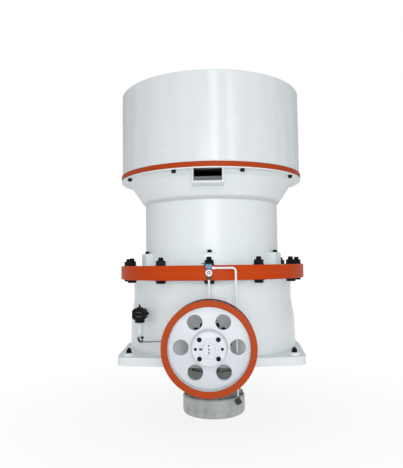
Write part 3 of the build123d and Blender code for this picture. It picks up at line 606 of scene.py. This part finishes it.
def make_turning_group():
    """Fine rings that a lathe leaves round Z, as a height from 0 to 1."""
    group, given, put = new_group("lathe_rings", [
        ("Vector", "vector", None), ("Rings", "value", 700.0),
    ], [("Height", "value"), ("Band", "value")])
    x, y, z = split(group, given["Vector"])
    across = add(group, "ShaderNodeCombineXYZ", X=length(group, x, y), Y=0.0, Z=z).outputs[0]
    group.links.new(noise(group, across, given["Rings"], 2.0, 0.6), put["Height"])
    group.links.new(noise(group, across, 55.0, 3.0), put["Band"])
    return group


def make_wear_and_glint_group():
    """Where a hard edge lies, from 0 to 1, broken up by small spots."""
    group, given, put = new_group("wear_and_glint_edges", [
        ("Radius", "value", 0.0015), ("Spots", "value", 160.0),
    ], [("Mask", "value"), ("Normal", "vector")])
    edge = add(group, "ShaderNodeBevel", {"samples": 4}, Radius=given["Radius"]).outputs[0]
    flat = add(group, "ShaderNodeNewGeometry").outputs["Normal"]
    dot = add(group, "ShaderNodeVectorMath", {"operation": "DOT_PRODUCT"})
    group.links.new(edge, dot.inputs[0])
    group.links.new(flat, dot.inputs[1])
    ridge = between(group, dot.outputs["Value"], 0.995, 0.93)
    spots = between(group, noise(group, object_place(group), given["Spots"], 3.0), 0.42, 0.62)
    group.links.new(calc(group, "MULTIPLY", ridge, spots), put["Mask"])
    group.links.new(edge, put["Normal"])
    return group


paint_group = make_paint_group()
turning_group = make_turning_group()
wear_and_glint_group = make_wear_and_glint_group()


def new_material(name):
    """A material with its shader; returns the material, its node tree and the shader."""
    material = bpy.data.materials.new(name)
    material.use_nodes = True
    tree = material.node_tree
    return material, tree, tree.nodes["Principled BSDF"]


def use(tree, group, **sockets):
    made = tree.nodes.new("ShaderNodeGroup")
    made.node_tree = group
    for key, value in sockets.items():
        feed(tree, made.inputs[key.replace("_", " ")], value)
    return made.outputs


def set_shader(tree, shader, **sockets):
    for key, value in sockets.items():
        feed(tree, shader.inputs[key.replace("_", " ")], value)


def painted(name, colour, lump_depth):
    """Plain glossy paint on small castings and pipes."""
    material, tree, shader = new_material(name)
    skin = use(tree, paint_group, Colour=colour, Roughness=0.3, Shade_Change=0.04, Lump_Depth=lump_depth)
    set_shader(tree, shader, Base_Color=skin["Colour"], Roughness=skin["Roughness"], Normal=skin["Normal"],
               Coat_Weight=0.3, Coat_Roughness=0.14, Specular_IOR_Level=0.5)
    return material


def casting_finish(name):
    """The body's paint, with painted shadow and belt dust behind the sheave, painted shade at the cone's foot and
    painted shade in the window pockets.
    """
    material, tree, shader = new_material(name)
    skin = use(tree, paint_group, Colour=BODY_PALE, Roughness=0.36, Shade_Change=0.06, Lump_Depth=0.0004)
    x, y, z = split(tree, object_place(tree))
    # Painted shade in the window pockets: grey at the sill, near black deeper in and under the roof
    side = calc(tree, "LESS_THAN", calc(tree, "ABSOLUTE", x), POCKET_HALF_W + POCKET_SIDE_DARK)
    low = calc(tree, "GREATER_THAN", z, pocket_foot + POCKET_LIP)
    high = calc(tree, "LESS_THAN", z, pocket_roof + POCKET_ROOF_DARK)
    depth = calc(tree, "SUBTRACT", pocket_face_r, calc(tree, "ABSOLUTE", y))
    mouth = between(tree, depth, *POCKET_MOUTH)
    near = calc(tree, "LESS_THAN", depth, POCKET_DARK_END)
    pocket = product(tree, side, low, high, mouth, near)
    deeper = between(tree, depth, *(POCKET_SILL_DEPTH + past for past in POCKET_DEEPER))
    pocket_shade = mixed(tree, deeper, POCKET_SHADE_GREY, POCKET_DEEP_SHADE)
    rough = calc(tree, "MULTIPLY_ADD", pocket, 0.4, skin["Roughness"])
    # Painted shadow of the sheave, together with belt dust, on the shell round the countershaft
    from_shaft = length(tree, x, calc(tree, "SUBTRACT", z, shaft_z))
    sheave_r = outer_r("sheave_rim")
    dust_and_shade = between(tree, from_shaft, sheave_r * DUST_SHADE_REACH[0], sheave_r * DUST_SHADE_REACH[1], DUST_SHADE_SHARE, 0.0)
    dust_and_shade = calc(tree, "MULTIPLY", dust_and_shade, calc(tree, "LESS_THAN", y, DUST_SHADE_FRONT_Y))
    colour = mixed(tree, dust_and_shade, skin["Colour"], SHADE_AND_DUST_GREY)
    # Painted shade in the corner at the cone's foot
    cone_foot = top("top_shell") - CONE_DROP
    cone_foot_shade = product(tree, between(tree, z, cone_foot - SHADE_BELOW_FOOT, cone_foot, 0.0, CONE_FOOT_SHADE),
                    between(tree, z, cone_foot + SHADE_ABOVE_FOOT, cone_foot + SHADE_FADE_TOP, 1.0, 0.0))
    colour = mixed(tree, cone_foot_shade, colour, SHADE_AND_DUST_GREY)
    set_shader(tree, shader, Base_Color=mixed(tree, pocket, colour, pocket_shade), Normal=skin["Normal"],
               Roughness=rough, Coat_Weight=calc(tree, "MULTIPLY_ADD", pocket, -0.18, 0.18),
               Coat_Roughness=0.16, Specular_IOR_Level=0.5)
    return material


def rolled_plate(name):
    """Paint on rolled plate, which stays wavy along the rolls and dented here and there."""
    material, tree, shader = new_material(name)
    skin = use(tree, paint_group, Colour=PLATE_PALE, Roughness=0.27, Shade_Change=0.02, Lump_Depth=0.0)
    place = object_place(tree)
    hopper_r = outer_r("feed_hopper")
    waves = noise(tree, unrolled(tree, place, hopper_r, 0.16), 8.0, 0.0, 0.4)
    dents = noise(tree, unrolled(tree, place, hopper_r, 1.3), 7.0, 0.0)
    both = calc(tree, "MULTIPLY_ADD", dents, 0.5, waves)
    gloss = between(tree, dents, 0.1, 0.9, 0.26, 0.31)
    set_shader(tree, shader, Base_Color=skin["Colour"], Roughness=gloss,
               Normal=bump(tree, both, 0.012, skin["Normal"]), Coat_Weight=0.6, Coat_Roughness=0.1,
               Specular_IOR_Level=0.5)
    return material


def flange_finish(name, paint, rim_r, joint_z=None):
    """Orange paint on a ring's rim, a painted highlight along a joint, and the body's paint on its flat faces."""
    material, tree, shader = new_material(name)
    x, y, z = split(tree, object_place(tree))
    rim = calc(tree, "GREATER_THAN", length(tree, x, y), rim_r - RIM_PAINT_IN)
    skin = use(tree, paint_group, Colour=paint, Roughness=0.38, Shade_Change=0.12, Lump_Depth=0.00005)
    marks = use(tree, turning_group, Vector=object_place(tree), Rings=260.0)
    dust_and_shade = between(tree, marks["Height"], 0.55, 0.75, 0.0, 0.5)
    colour = mixed(tree, dust_and_shade, skin["Colour"], tuple(c * 0.7 for c in paint))
    if joint_z is not None:
        # A painted highlight along the joint between the two rings
        from_joint = calc(tree, "ABSOLUTE", calc(tree, "SUBTRACT", z, joint_z))
        joint_highlight = between(tree, from_joint, *JOINT_HIGHLIGHT_LINE, 0.7, 0.0)
        colour = mixed(tree, joint_highlight, colour, JOINT_HIGHLIGHT_ORANGE)
    colour = mixed(tree, rim, BODY_PALE, colour)
    set_shader(tree, shader, Base_Color=colour, Roughness=skin["Roughness"],
               Normal=bump(tree, marks["Height"], 0.00012, skin["Normal"]), Specular_IOR_Level=0.08)
    return material


def cylinder_finish(name, colour):
    """Grey paint that oil and dust have streaked from top to bottom."""
    material, tree, shader = new_material(name)
    skin = use(tree, paint_group, Colour=colour, Roughness=0.4, Shade_Change=0.14, Lump_Depth=0.0003)
    place = object_place(tree)
    flat = unrolled(tree, place, outer_r("cylinder_drum"), 0.3)
    streaks = noise(tree, flat, 12.0, 4.0, 0.55)
    patches = noise(tree, place, 7.0, 3.0)
    oily = product(tree, between(tree, streaks, 0.44, 0.76, 0.15, 0.9), between(tree, patches, 0.34, 0.66))
    dark = tuple(c * 0.36 for c in colour)
    set_shader(tree, shader, Base_Color=mixed(tree, oily, skin["Colour"], dark), Normal=skin["Normal"],
               Roughness=between(tree, streaks, 0.4, 0.7, 0.46, 0.26), Coat_Weight=0.12, Coat_Roughness=0.2,
               Specular_IOR_Level=0.5)
    return material


def along_shaft(tree):
    """Object coordinates turned so that the countershaft is Z."""
    mapping = add(tree, "ShaderNodeMapping", {"vector_type": "POINT"}, Vector=object_place(tree))
    mapping.inputs["Location"].default_value = (0, -shaft_z, 0)
    mapping.inputs["Rotation"].default_value = (math.radians(-90), 0, 0)
    return mapping.outputs[0]


def bare_steel(name, colour, roughness):
    """Turned steel: fine rings round Z, and darker bands where oil clings."""
    material, tree, shader = new_material(name)
    marks = use(tree, turning_group, Vector=object_place(tree), Rings=700.0)
    rubbed = use(tree, wear_and_glint_group)
    film = between(tree, marks["Band"], 0.35, 0.7)
    dark = tuple(c * 0.62 for c in colour)
    set_shader(tree, shader, Base_Color=mixed(tree, film, dark, colour), Metallic=1.0,
               Normal=bump(tree, marks["Height"], 0.00002, rubbed["Normal"]),
               Roughness=between(tree, marks["Band"], 0.3, 0.7, roughness, roughness + 0.15))
    return material


def cast_wear_steel(name):
    """Manganese steel as cast: dark, pitted, with paler rubbed high spots."""
    material, tree, shader = new_material(name)
    place = object_place(tree)
    pits = noise(tree, place, 60.0, 5.0, 0.65)
    clouds = noise(tree, place, 5.0, 4.0)
    rubbed = use(tree, wear_and_glint_group, Radius=0.004, Spots=40.0)
    base = mixed(tree, between(tree, clouds, 0.3, 0.7), WEAR_STEEL, WEAR_BROWN)
    colour = mixed(tree, rubbed["Mask"], base, WEAR_RUBBED)
    set_shader(tree, shader, Base_Color=colour, Metallic=0.55,
               Normal=bump(tree, pits, 0.0012, rubbed["Normal"], 0.7),
               Roughness=between(tree, pits, 0.3, 0.7, 0.62, 0.42))
    return material


def dark_metal(name, colour, wear_glint_colour, roughness=0.42):
    """Blackened or bronze fittings with edges that hands and spanners have rubbed, their paler colour also a
    painted glint.
    """
    material, tree, shader = new_material(name)
    place = object_place(tree)
    rubbed = use(tree, wear_and_glint_group, Radius=0.0008, Spots=260.0)
    clouds = noise(tree, place, 70.0, 3.0)
    base = mixed(tree, clouds, colour, tuple(c * 1.8 for c in colour))
    # The paler colour on the edges is rubbed wear and also a painted glint
    shade = mixed(tree, calc(tree, "MULTIPLY", rubbed["Mask"], 0.5), base, wear_glint_colour)
    grain = noise(tree, place, 600.0, 2.0)
    set_shader(tree, shader, Base_Color=shade, Metallic=0.1,
               Normal=bump(tree, grain, 0.00004, rubbed["Normal"]),
               Roughness=between(tree, clouds, 0.3, 0.7, roughness, roughness + 0.14),
               Specular_IOR_Level=0.11)
    return material


def sheave_finish(name):
    """Orange faces, pale bore and bare grooves, told apart by their place on the rim."""
    material, tree, shader = new_material(name)
    place = along_shaft(tree)
    low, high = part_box("sheave_rim")
    x, y, _ = split(tree, place)
    r = length(tree, x, y)
    along = split(tree, object_place(tree))[1]
    front_face = calc(tree, "LESS_THAN", along, low.y + SHEAVE_FACE_T)
    back_face = calc(tree, "GREATER_THAN", along, high.y - SHEAVE_FACE_T)
    face = calc(tree, "MAXIMUM", front_face, back_face)
    outside = calc(tree, "GREATER_THAN", r, (high.x + outer_r("sheave_web")) / 2)
    skin = use(tree, paint_group, Colour=RIM_ORANGE, Roughness=0.46, Shade_Change=0.1, Lump_Depth=0.0001)
    marks = use(tree, turning_group, Vector=place, Rings=420.0)
    bare = mixed(tree, marks["Band"], GROOVE_DARK, GROOVE_WORN)
    colour = mixed(tree, outside, WEB_PALE, bare)
    colour = mixed(tree, face, colour, skin["Colour"])
    metal = calc(tree, "MULTIPLY", outside, calc(tree, "SUBTRACT", 1.0, face))
    set_shader(tree, shader, Base_Color=colour, Roughness=skin["Roughness"],
               Normal=bump(tree, marks["Height"], 0.00006, skin["Normal"]),
               Metallic=calc(tree, "MULTIPLY", metal, 0.6), Specular_IOR_Level=0.14)
    return material


def shaft_end_finish(name):
    """The web's paint, black in the tapped holes of the countershaft's end."""
    material, tree, shader = new_material(name)
    skin = use(tree, paint_group, Colour=WEB_PALE, Roughness=0.3, Shade_Change=0.04, Lump_Depth=0.0002)
    x, _, z = split(tree, object_place(tree))
    holes = 0.0
    for step in (-1, 0, 1):
        up = calc(tree, "SUBTRACT", z, shaft_z + step * SHAFT_TAP_PITCH)
        hole = calc(tree, "LESS_THAN", length(tree, x, up), SHAFT_TAP_R)
        holes = calc(tree, "MAXIMUM", hole, holes)
    set_shader(tree, shader, Base_Color=mixed(tree, holes, skin["Colour"], BLACK),
               Roughness=skin["Roughness"], Normal=skin["Normal"],
               Coat_Weight=calc(tree, "MULTIPLY_ADD", holes, -0.3, 0.3),
               Specular_IOR_Level=calc(tree, "MULTIPLY_ADD", holes, -0.45, 0.5))
    return material


def dial_finish(name, at, r):
    """A plain dial: a dark ring round its middle and even ticks over three quarters of a turn."""
    material, tree, shader = new_material(name)
    x, _, z = split(tree, object_place(tree))
    x = calc(tree, "SUBTRACT", x, at[0])
    z = calc(tree, "SUBTRACT", z, at[2])
    radius = length(tree, x, z)
    turn = calc(tree, "ARCTAN2", x, z)

    def band(reach):
        return product(tree, calc(tree, "GREATER_THAN", radius, r * reach[0]),
                       calc(tree, "LESS_THAN", radius, r * reach[1]))

    off_tick = calc(tree, "PINGPONG", turn, math.pi / DIAL_TICKS)
    tick = calc(tree, "LESS_THAN", off_tick, DIAL_TICK_HALF)
    swept = calc(tree, "LESS_THAN", calc(tree, "ABSOLUTE", turn), math.radians(DIAL_SWEEP))
    ticks = product(tree, tick, band(DIAL_TICK_REACH), swept)
    print_mask = calc(tree, "MAXIMUM", ticks, band(DIAL_RING))
    set_shader(tree, shader, Base_Color=mixed(tree, print_mask, DIAL_WHITE, DIAL_BLUE), Roughness=0.4)
    return material


def clear_glass(name):
    material, tree, shader = new_material(name)
    smudge = noise(tree, object_place(tree), 300.0, 2.0)
    set_shader(tree, shader, Base_Color=GLASS, Transmission_Weight=1.0, IOR=1.12,
               Roughness=between(tree, smudge, 0.3, 0.8, 0.02, 0.08))
    return material


def milky_plastic(name):
    material, tree, shader = new_material(name)
    depth = between(tree, noise(tree, object_place(tree), 30.0, 2.0), 0.2, 0.8)
    set_shader(tree, shader, Base_Color=mixed(tree, depth, BOWL_MILK, BOWL_DEEP), Roughness=0.22,
               Subsurface_Weight=0.25, Subsurface_Scale=0.01, Coat_Weight=0.4)
    return material


finishes = {
    "casting_paint": casting_finish("casting_paint"),
    "plate_paint": rolled_plate("plate_paint"),
    "flange_paint": flange_finish("flange_paint", ORANGE, outer_r("upper_flange"), top("lower_flange")),
    "sheave_paint": sheave_finish("sheave_paint"),
    "web_paint": painted("web_paint", WEB_PALE, 0.0002),
    "cylinder_paint": cylinder_finish("cylinder_paint", CYLINDER_GREY),
    "pipe_paint": painted("pipe_paint", PIPE_PALE, 0.00005),
    "cock_paint": painted("cock_paint", COCK_BLUE, 0.00005),
    "gauge_case": painted("gauge_case", PIPE_PALE, 0.00002),
    "liner_steel": cast_wear_steel("liner_steel"),
    "machined_steel": bare_steel("machined_steel", BRIGHT_STEEL, 0.28),
    "pipe_steel": bare_steel("pipe_steel", PIPE_STEEL, 0.35),
    "black_fitting": dark_metal("black_fitting", BLACK, BLACK_WEAR_GLINT),
    "bowl_plastic": milky_plastic("bowl_plastic"),
}
# A darker copy of the cylinder's paint for the neck, its ribs and the drum's screws: painted shade
neck_shade_paint = cylinder_finish("neck_shade_paint", NECK_SHADE_GREY)
valve_bronze = dark_metal("valve_bronze", BRONZE, BRONZE_WEAR_GLINT, 0.36)
grey_knob = dark_metal("grey_knob", KNOB_GREY, KNOB_WEAR_GLINT)
rubbed_rib = bare_steel("rubbed_rib", RIB_STEEL, 0.4)
dial_glass = clear_glass("dial_glass")
black = finishes["black_fitting"]

for part in frame["record"]["subparts"]:
    shown = nodes[part["node"]]
    shown.data.materials.clear()
    shown.data.materials.append(finishes[part["material_slot"]])
nodes["countershaft"].data.materials[0] = shaft_end_finish("shaft_paint")
nodes["cylinder_neck"].data.materials[0] = neck_shade_paint
nodes["neck_ribs"].data.materials[0] = neck_shade_paint
nodes["drain_cock"].data.materials[0] = valve_bronze
nodes["hopper_ring"].data.materials[0] = flange_finish("ring_paint", RING_ORANGE, outer_r("hopper_ring"))


def make_flange_studs():
    r = outer_r("upper_flange") - FLANGE_STUDS_IN
    nut = stud_with_nut("flange_nut", FLANGE_NUT)
    ring_of(nut, around(FLANGE_STUDS), r, top("upper_flange"), black, spin=8)
    head = headed_bolt("flange_bolt_head", FLANGE_HEAD, FLANGE_WASHER_R)
    ring_of(head, around(FLANGE_STUDS), r, foot("lower_flange"), black,
            upside_down=True, spin=20)


def make_lug_bolts():
    r = -front("clamp_lugs") - LUG_BOLTS_IN
    bolt = headed_bolt("lug_bolt", LUG_BOLT)
    ring_of(bolt, around(LUGS), r, top("clamp_lugs"), black, spin=15)


def make_ring_bolts():
    r = outer_r("hopper_ring") - RING_BOLTS_IN
    bolt = headed_bolt("ring_bolt", RING_BOLT)
    ring_of(bolt, RING_BOLT_TURNS, r, foot("hopper_ring") - TOP_FLANGE_T, black,
            upside_down=True)
    nut = stud_with_nut("ring_nut", RING_NUT)
    ring_of(nut, RING_BOLT_TURNS, r, top("hopper_ring"), black)


def make_window_boxes():
    """The cast boxes below the top flange that frame the window pockets."""
    half = POCKET_HALF_W + POCKET_FRAME
    low = pocket_foot - POCKET_FRAME
    high = pocket_roof + POCKET_ROOF_LAP
    face_y = -pocket_face_r - 0.02      # past the face, which the former then rounds
    deselect()
    bpy.ops.mesh.primitive_cube_add(size=1, location=(0, (face_y + POCKET_BACK_Y) / 2, (low + high) / 2),
                                    scale=(2 * half, POCKET_BACK_Y - face_y, high - low))
    box = bake(named("front_window_box"))
    bpy.ops.object.mode_set(mode="EDIT")
    bpy.ops.mesh.select_all(action="DESELECT")
    bpy.ops.object.mode_set(mode="OBJECT")
    for vertex in box.data.vertices:
        vertex.select = vertex.co.z < low + 0.001 and vertex.co.y > POCKET_BACK_Y - 0.001
    bpy.ops.object.mode_set(mode="EDIT")
    bpy.ops.transform.translate(value=(0, 0, -POCKET_FALL))
    bpy.ops.object.mode_set(mode="OBJECT")
    former = turned("window_former", [
        (0, low - 0.1), (pocket_face_r, low - 0.1), (pocket_face_r, high + 0.1), (0, high + 0.1),
    ], 288)
    apply(box, "BOOLEAN", operation="INTERSECT", solver="EXACT", object=former)
    discard(former)
    room_top = high + 0.05
    room_length = 0.5
    for depth, room_foot in ((POCKET_DEPTH, pocket_foot + POCKET_SILL_H), (POCKET_SILL_DEPTH, pocket_foot)):
        room_y = -pocket_face_r + depth - room_length / 2
        deselect()
        bpy.ops.mesh.primitive_cube_add(size=1, location=(0, room_y, (room_foot + room_top) / 2),
                                        scale=(2 * POCKET_HALF_W, room_length, room_top - room_foot))
        room = bake(named("window_room"))
        apply(box, "BOOLEAN", operation="DIFFERENCE", solver="EXACT", object=room)
        discard(room)
    apply(box, "BEVEL", width=POCKET_BEVEL, segments=3, limit_method="ANGLE", angle_limit=math.radians(50))
    smooth(box, 40)
    back = settle(copy_of(box, "back_window_box"), turn=(0, 0, 180))
    for piece in (box, back):
        finish_piece(piece, finishes["casting_paint"])


def make_anchor_nuts():
    mount = next(m for m in frame["record"]["mounts"] if m["name"] == "foot_bolts")
    x = mount["dims"]["spacing_x_mm"] / 2000
    y = mount["dims"]["spacing_y_mm"] / 2000
    pattern = stud_with_nut("anchor_nut", ANCHOR_NUT)
    for i, (sx, sy) in enumerate(((-1, -1), (1, -1), (1, 1), (-1, 1))):
        nut = copy_of(pattern, f"anchor_nut_{i + 1:02d}")
        settle(nut, turn=(0, 0, 14 * i), at=(sx * x, sy * y, top("foot_plate")))
        finish_piece(nut, black)
    discard(pattern)


def make_housing_bolts():
    bolt_r = outer_r("countershaft_housing") - HOUSING_BOLTS_IN
    seat_y = front("countershaft_housing") + HOUSING_SEAT_BACK
    bolt = headed_bolt("housing_bolt", HOUSING_BOLT)
    shaft_ring_of(bolt, around(HOUSING_BOLTS), bolt_r, seat_y, black)
    screw_r = outer_r("end_cover") - END_COVER_SCREWS_IN
    screw = cap_screw("end_cover_screw", END_COVER_SCREW)
    shaft_ring_of(screw, around(END_COVER_SCREWS, 30), screw_r, front("end_cover"), black)


def make_spider_bolts():
    r = outer_r("spider_cap") - CAP_BOLTS_IN
    bolt = headed_bolt("cap_bolt", CAP_BOLT)
    ring_of(bolt, around(CAP_BOLTS), r, foot("spider_cap") + CAP_RIM_T, black)


def make_cylinder_bolts():
    r = outer_r("cylinder_neck") - NECK_BOLTS_IN
    bolt = headed_bolt("neck_bolt", NECK_BOLT)
    ring_of(bolt, around(NECK_BOLTS), r, top("cylinder_neck") - NECK_FLANGE_T, black,
            upside_down=True)
    r = outer_r("cylinder_drum") - DRUM_SCREWS_IN
    screw = cap_screw("drum_screw", DRUM_SCREW)
    # The drum's screws take the neck's darker paint, painted shade on the drum's top
    ring_of(screw, around(DRUM_SCREWS, 15), r, top("cylinder_drum"), neck_shade_paint)


def make_bush_screws():
    face_y = front("taper_bush")
    screw = cap_screw("bush_screw", BUSH_SCREW)
    shaft_ring_of(screw, BUSH_SCREW_TURNS, BUSH_SCREWS_R, face_y, black, "sheave")
    plug = cap_screw("bush_plug", BUSH_PLUG)
    shaft_ring_of(plug, BUSH_PLUG_TURNS, BUSH_SCREWS_R, face_y, black, "sheave")
    key_x = -outer_r("countershaft") - SHAFT_KEY_OUT
    key = bevelled_block("shaft_key", SHAFT_KEY_SIZE, (key_x, face_y, shaft_z), 0.001)
    finish_piece(key, grey_knob, "sheave")


def make_face_piece(name, outline, at, out, material):
    """A turned piece of the gauge's face, standing this far in front of the case."""
    piece = turned(name, outline, 40)
    settle(piece, turn=(90, 0, 0), at=(at[0], at[1] - out, at[2]))
    finish_piece(piece, material)


def make_gauge():
    low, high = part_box("pressure_gauge")
    r = (high.x - low.x) / 2
    at = ((low.x + high.x) / 2, low.y, low.z + r)
    make_face_piece("gauge_bezel", [
        (r * BEZEL_BORE, 0), (r * BEZEL_R, 0), (r * BEZEL_R, BEZEL_T - 0.002), (r * BEZEL_FACE[1], BEZEL_T),
        (r * BEZEL_FACE[0], BEZEL_T), (r * BEZEL_BORE, BEZEL_T - 0.003), (r * BEZEL_BORE, 0),
    ], at, 0, finishes["gauge_case"])
    make_face_piece("gauge_dial", [(0, 0), (r * DIAL_R, 0), (r * DIAL_R, DIAL_T), (0, DIAL_T)],
                    at, 0, dial_finish("dial_print", at, r))
    deselect()
    bpy.ops.mesh.primitive_cone_add(vertices=6, radius1=NEEDLE_FOOT_R, radius2=NEEDLE_TIP_R,
                                    depth=r * NEEDLE_LENGTH, location=(0, 0, r * 0.18))
    needle = bake(named("gauge_needle"))
    settle(needle, turn=(0, NEEDLE_TURN, 0), at=(at[0], at[1] - NEEDLE_OUT, at[2]))
    finish_piece(needle, black)
    glass_r = r * GAUGE_GLASS_R
    make_face_piece("gauge_window", [(0, 0), (glass_r, 0), (glass_r, 0.001), (0, 0.0016)],
                    at, GAUGE_GLASS_OUT, dial_glass)


def make_gauge_union():
    """The hexagon union below the gauge."""
    low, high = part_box("feed_pipe")
    union = hexagon("gauge_union", *GAUGE_UNION)
    settle(union, turn=(0, 0, 12),
           at=((low.x + high.x) / 2, (low.y + high.y) / 2, high.z - GAUGE_UNION_DROP))
    finish_piece(union, valve_bronze)


def make_air_fittings():
    """The dark elbow and drain knob below the filter bowl, and the ribs on the air unit's front."""
    unit_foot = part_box("air_unit")[0]
    bowl_low, bowl_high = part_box("air_bowl")
    middle_x = (bowl_low.x + bowl_high.x) / 2
    middle_y = (bowl_low.y + bowl_high.y) / 2
    for i, rise in enumerate(UNIT_RIB_RISES):
        at = (middle_x - UNIT_RIB_LEFT, unit_foot.y - UNIT_RIB_OUT, unit_foot.z + rise)
        rib = bevelled_block(f"unit_rib_{i + 1:02d}", UNIT_RIB_SIZE, at, 0.0015)
        finish_piece(rib, rubbed_rib)
    down_x = middle_x - AIR_PIPE_IN
    run_turn = math.radians(AIR_PIPE_TURN)
    run_z = bowl_low.z - AIR_PIPE_DROP

    def along_run(reach, z):
        return (down_x + reach * math.cos(run_turn), middle_y + reach * math.sin(run_turn), z)

    deselect()
    bpy.ops.mesh.primitive_torus_add(major_radius=AIR_BEND_R, minor_radius=AIR_ELBOW_R,
                                     major_segments=48, minor_segments=20)
    elbow = named("air_elbow")
    bpy.ops.object.mode_set(mode="EDIT")
    for side in ((1, 0, 0), (0, 1, 0)):
        bpy.ops.mesh.select_all(action="SELECT")
        bpy.ops.mesh.bisect(plane_co=(0, 0, 0), plane_no=side, clear_outer=True, use_fill=True)
    bpy.ops.mesh.select_all(action="SELECT")
    bpy.ops.mesh.normals_make_consistent(inside=False)
    bpy.ops.object.mode_set(mode="OBJECT")
    smooth(elbow, 40)
    settle(elbow, turn=(90, 0, 0))
    settle(elbow, turn=(0, 0, AIR_PIPE_TURN), at=along_run(AIR_BEND_R, run_z + AIR_BEND_R))
    finish_piece(elbow, grey_knob)
    knob = turned("drain_knob", [
        (0, 0), (0.007, 0), (0.007, 0.010), (0.004, 0.012), (0.004, 0.026),
        (0.0105, 0.027), (0.0125, 0.030), (0.0125, 0.038), (0.0105, 0.042), (0, 0.042),
    ], 24)
    settle(knob, at=along_run(AIR_BEND_R + DRAIN_KNOB_OUT, run_z))
    finish_piece(knob, black)


def make_hopper_welds():
    """The fillet round the hopper's foot and the upright seam of its rolled plate, at the back."""
    low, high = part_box("feed_hopper")
    seam_size = (SEAM_WELD_W, SEAM_WELD_T, high.z - low.z - SEAM_WELD_SHORT)
    seam_at = (0, high.y + SEAM_WELD_OUT, (low.z + high.z) / 2)
    seam = bevelled_block("hopper_seam_weld", seam_size, seam_at, 0.003)
    finish_piece(seam, finishes["plate_paint"])
    leg = FOOT_WELD_LEG
    bead = turned("hopper_foot_weld", [
        (high.x, low.z), (high.x + leg, low.z), (high.x + leg * 0.72, low.z + leg * 0.55),
        (high.x + leg * 0.3, low.z + leg * 0.9), (high.x, low.z + leg), (high.x, low.z),
    ], 240)
    finish_piece(bead, finishes["casting_paint"])


def blend_shaders(tree, share, shader_a, shader_b, output):
    blend = tree.nodes.new("ShaderNodeMixShader")
    for socket, value in zip(blend.inputs, (share, shader_a.outputs[0], shader_b.outputs[0])):
        tree.links.new(value, socket)
    tree.links.new(blend.outputs[0], output.inputs["Surface"])


def make_floor():
    """A pale floor that keeps the crusher's shadow and fades to white around it."""
    deselect()
    bpy.ops.mesh.primitive_plane_add(size=60, location=(0, 0, cad_box[0].z - FLOOR_DROP))
    floor = named("floor")
    material, tree, shader = new_material("pale_floor")
    set_shader(tree, shader, Base_Color=FLOOR_PALE, Roughness=0.7, Specular_IOR_Level=0.1)
    glow = add(tree, "ShaderNodeEmission", Color=WHITE, Strength=1.0)
    rays = add(tree, "ShaderNodeLightPath").outputs
    mirrored = calc(tree, "MAXIMUM", rays["Is Glossy Ray"], rays["Is Transmission Ray"])
    seen = calc(tree, "MAXIMUM", rays["Is Camera Ray"], mirrored)
    x, y, _ = split(tree, object_place(tree))
    share = between(tree, length(tree, x, y), *FLOOR_FADE, *FLOOR_FADE_SHARE)
    blend_shaders(tree, calc(tree, "MULTIPLY", seen, share), shader, glow, tree.nodes["Material Output"])
    floor.data.materials.append(material)


def make_world():
    """Even pale light all round, and white where the camera or glass sees past the floor."""
    world = bpy.data.worlds.new("studio")
    bpy.context.scene.world = world
    world.use_nodes = True
    tree = world.node_tree
    light = tree.nodes["Background"]
    feed(tree, light.inputs["Color"], STUDIO_LIGHT)
    feed(tree, light.inputs["Strength"], WORLD_STRENGTH)
    white = add(tree, "ShaderNodeBackground", Color=WHITE, Strength=1.0)
    rays = add(tree, "ShaderNodeLightPath").outputs
    seen = calc(tree, "MAXIMUM", rays["Is Camera Ray"], rays["Is Transmission Ray"])
    blend_shaders(tree, seen, light, white, tree.nodes["World Output"])


def make_softbox(name, at, aim, width, height, power):
    deselect()
    bpy.ops.object.light_add(type="AREA", location=at)
    lamp = bpy.context.object
    lamp.name = name
    lamp.data.shape = "RECTANGLE"
    lamp.data.size = width
    lamp.data.size_y = height
    lamp.data.energy = power
    lamp.rotation_euler = (Vector(aim) - Vector(at)).to_track_quat("-Z", "Y").to_euler()


def make_camera():
    """The photograph's camera, turned, pitched and rolled about its own place."""
    forward = Vector((-math.sin(CAMERA_PAN) * math.cos(CAMERA_PITCH),
                      math.cos(CAMERA_PAN) * math.cos(CAMERA_PITCH), math.sin(CAMERA_PITCH)))
    level = Vector((math.cos(CAMERA_PAN), math.sin(CAMERA_PAN), 0))
    upright = level.cross(forward)
    right = level * math.cos(CAMERA_ROLL) + upright * math.sin(CAMERA_ROLL)
    up = upright * math.cos(CAMERA_ROLL) - level * math.sin(CAMERA_ROLL)
    at = (CAMERA_DISTANCE * math.sin(CAMERA_TURN), -CAMERA_DISTANCE * math.cos(CAMERA_TURN), CAMERA_HEIGHT)
    deselect()
    bpy.ops.object.camera_add(location=at, rotation=Matrix((right, up, -forward)).transposed().to_euler())
    camera = bpy.context.object
    camera.name = "photo_camera"
    camera.data.sensor_width = 36
    camera.data.lens = CAMERA_LENS
    bpy.context.scene.camera = camera


make_camera()
make_flange_studs()
make_lug_bolts()
make_ring_bolts()
make_window_boxes()
make_anchor_nuts()
make_housing_bolts()
make_spider_bolts()
make_cylinder_bolts()
make_bush_screws()
make_gauge()
make_gauge_union()
make_air_fittings()
make_hopper_welds()
make_floor()
make_world()
for softbox in SOFTBOXES:
    make_softbox(*softbox)
bpy.context.scene.view_settings.view_transform = "Standard"
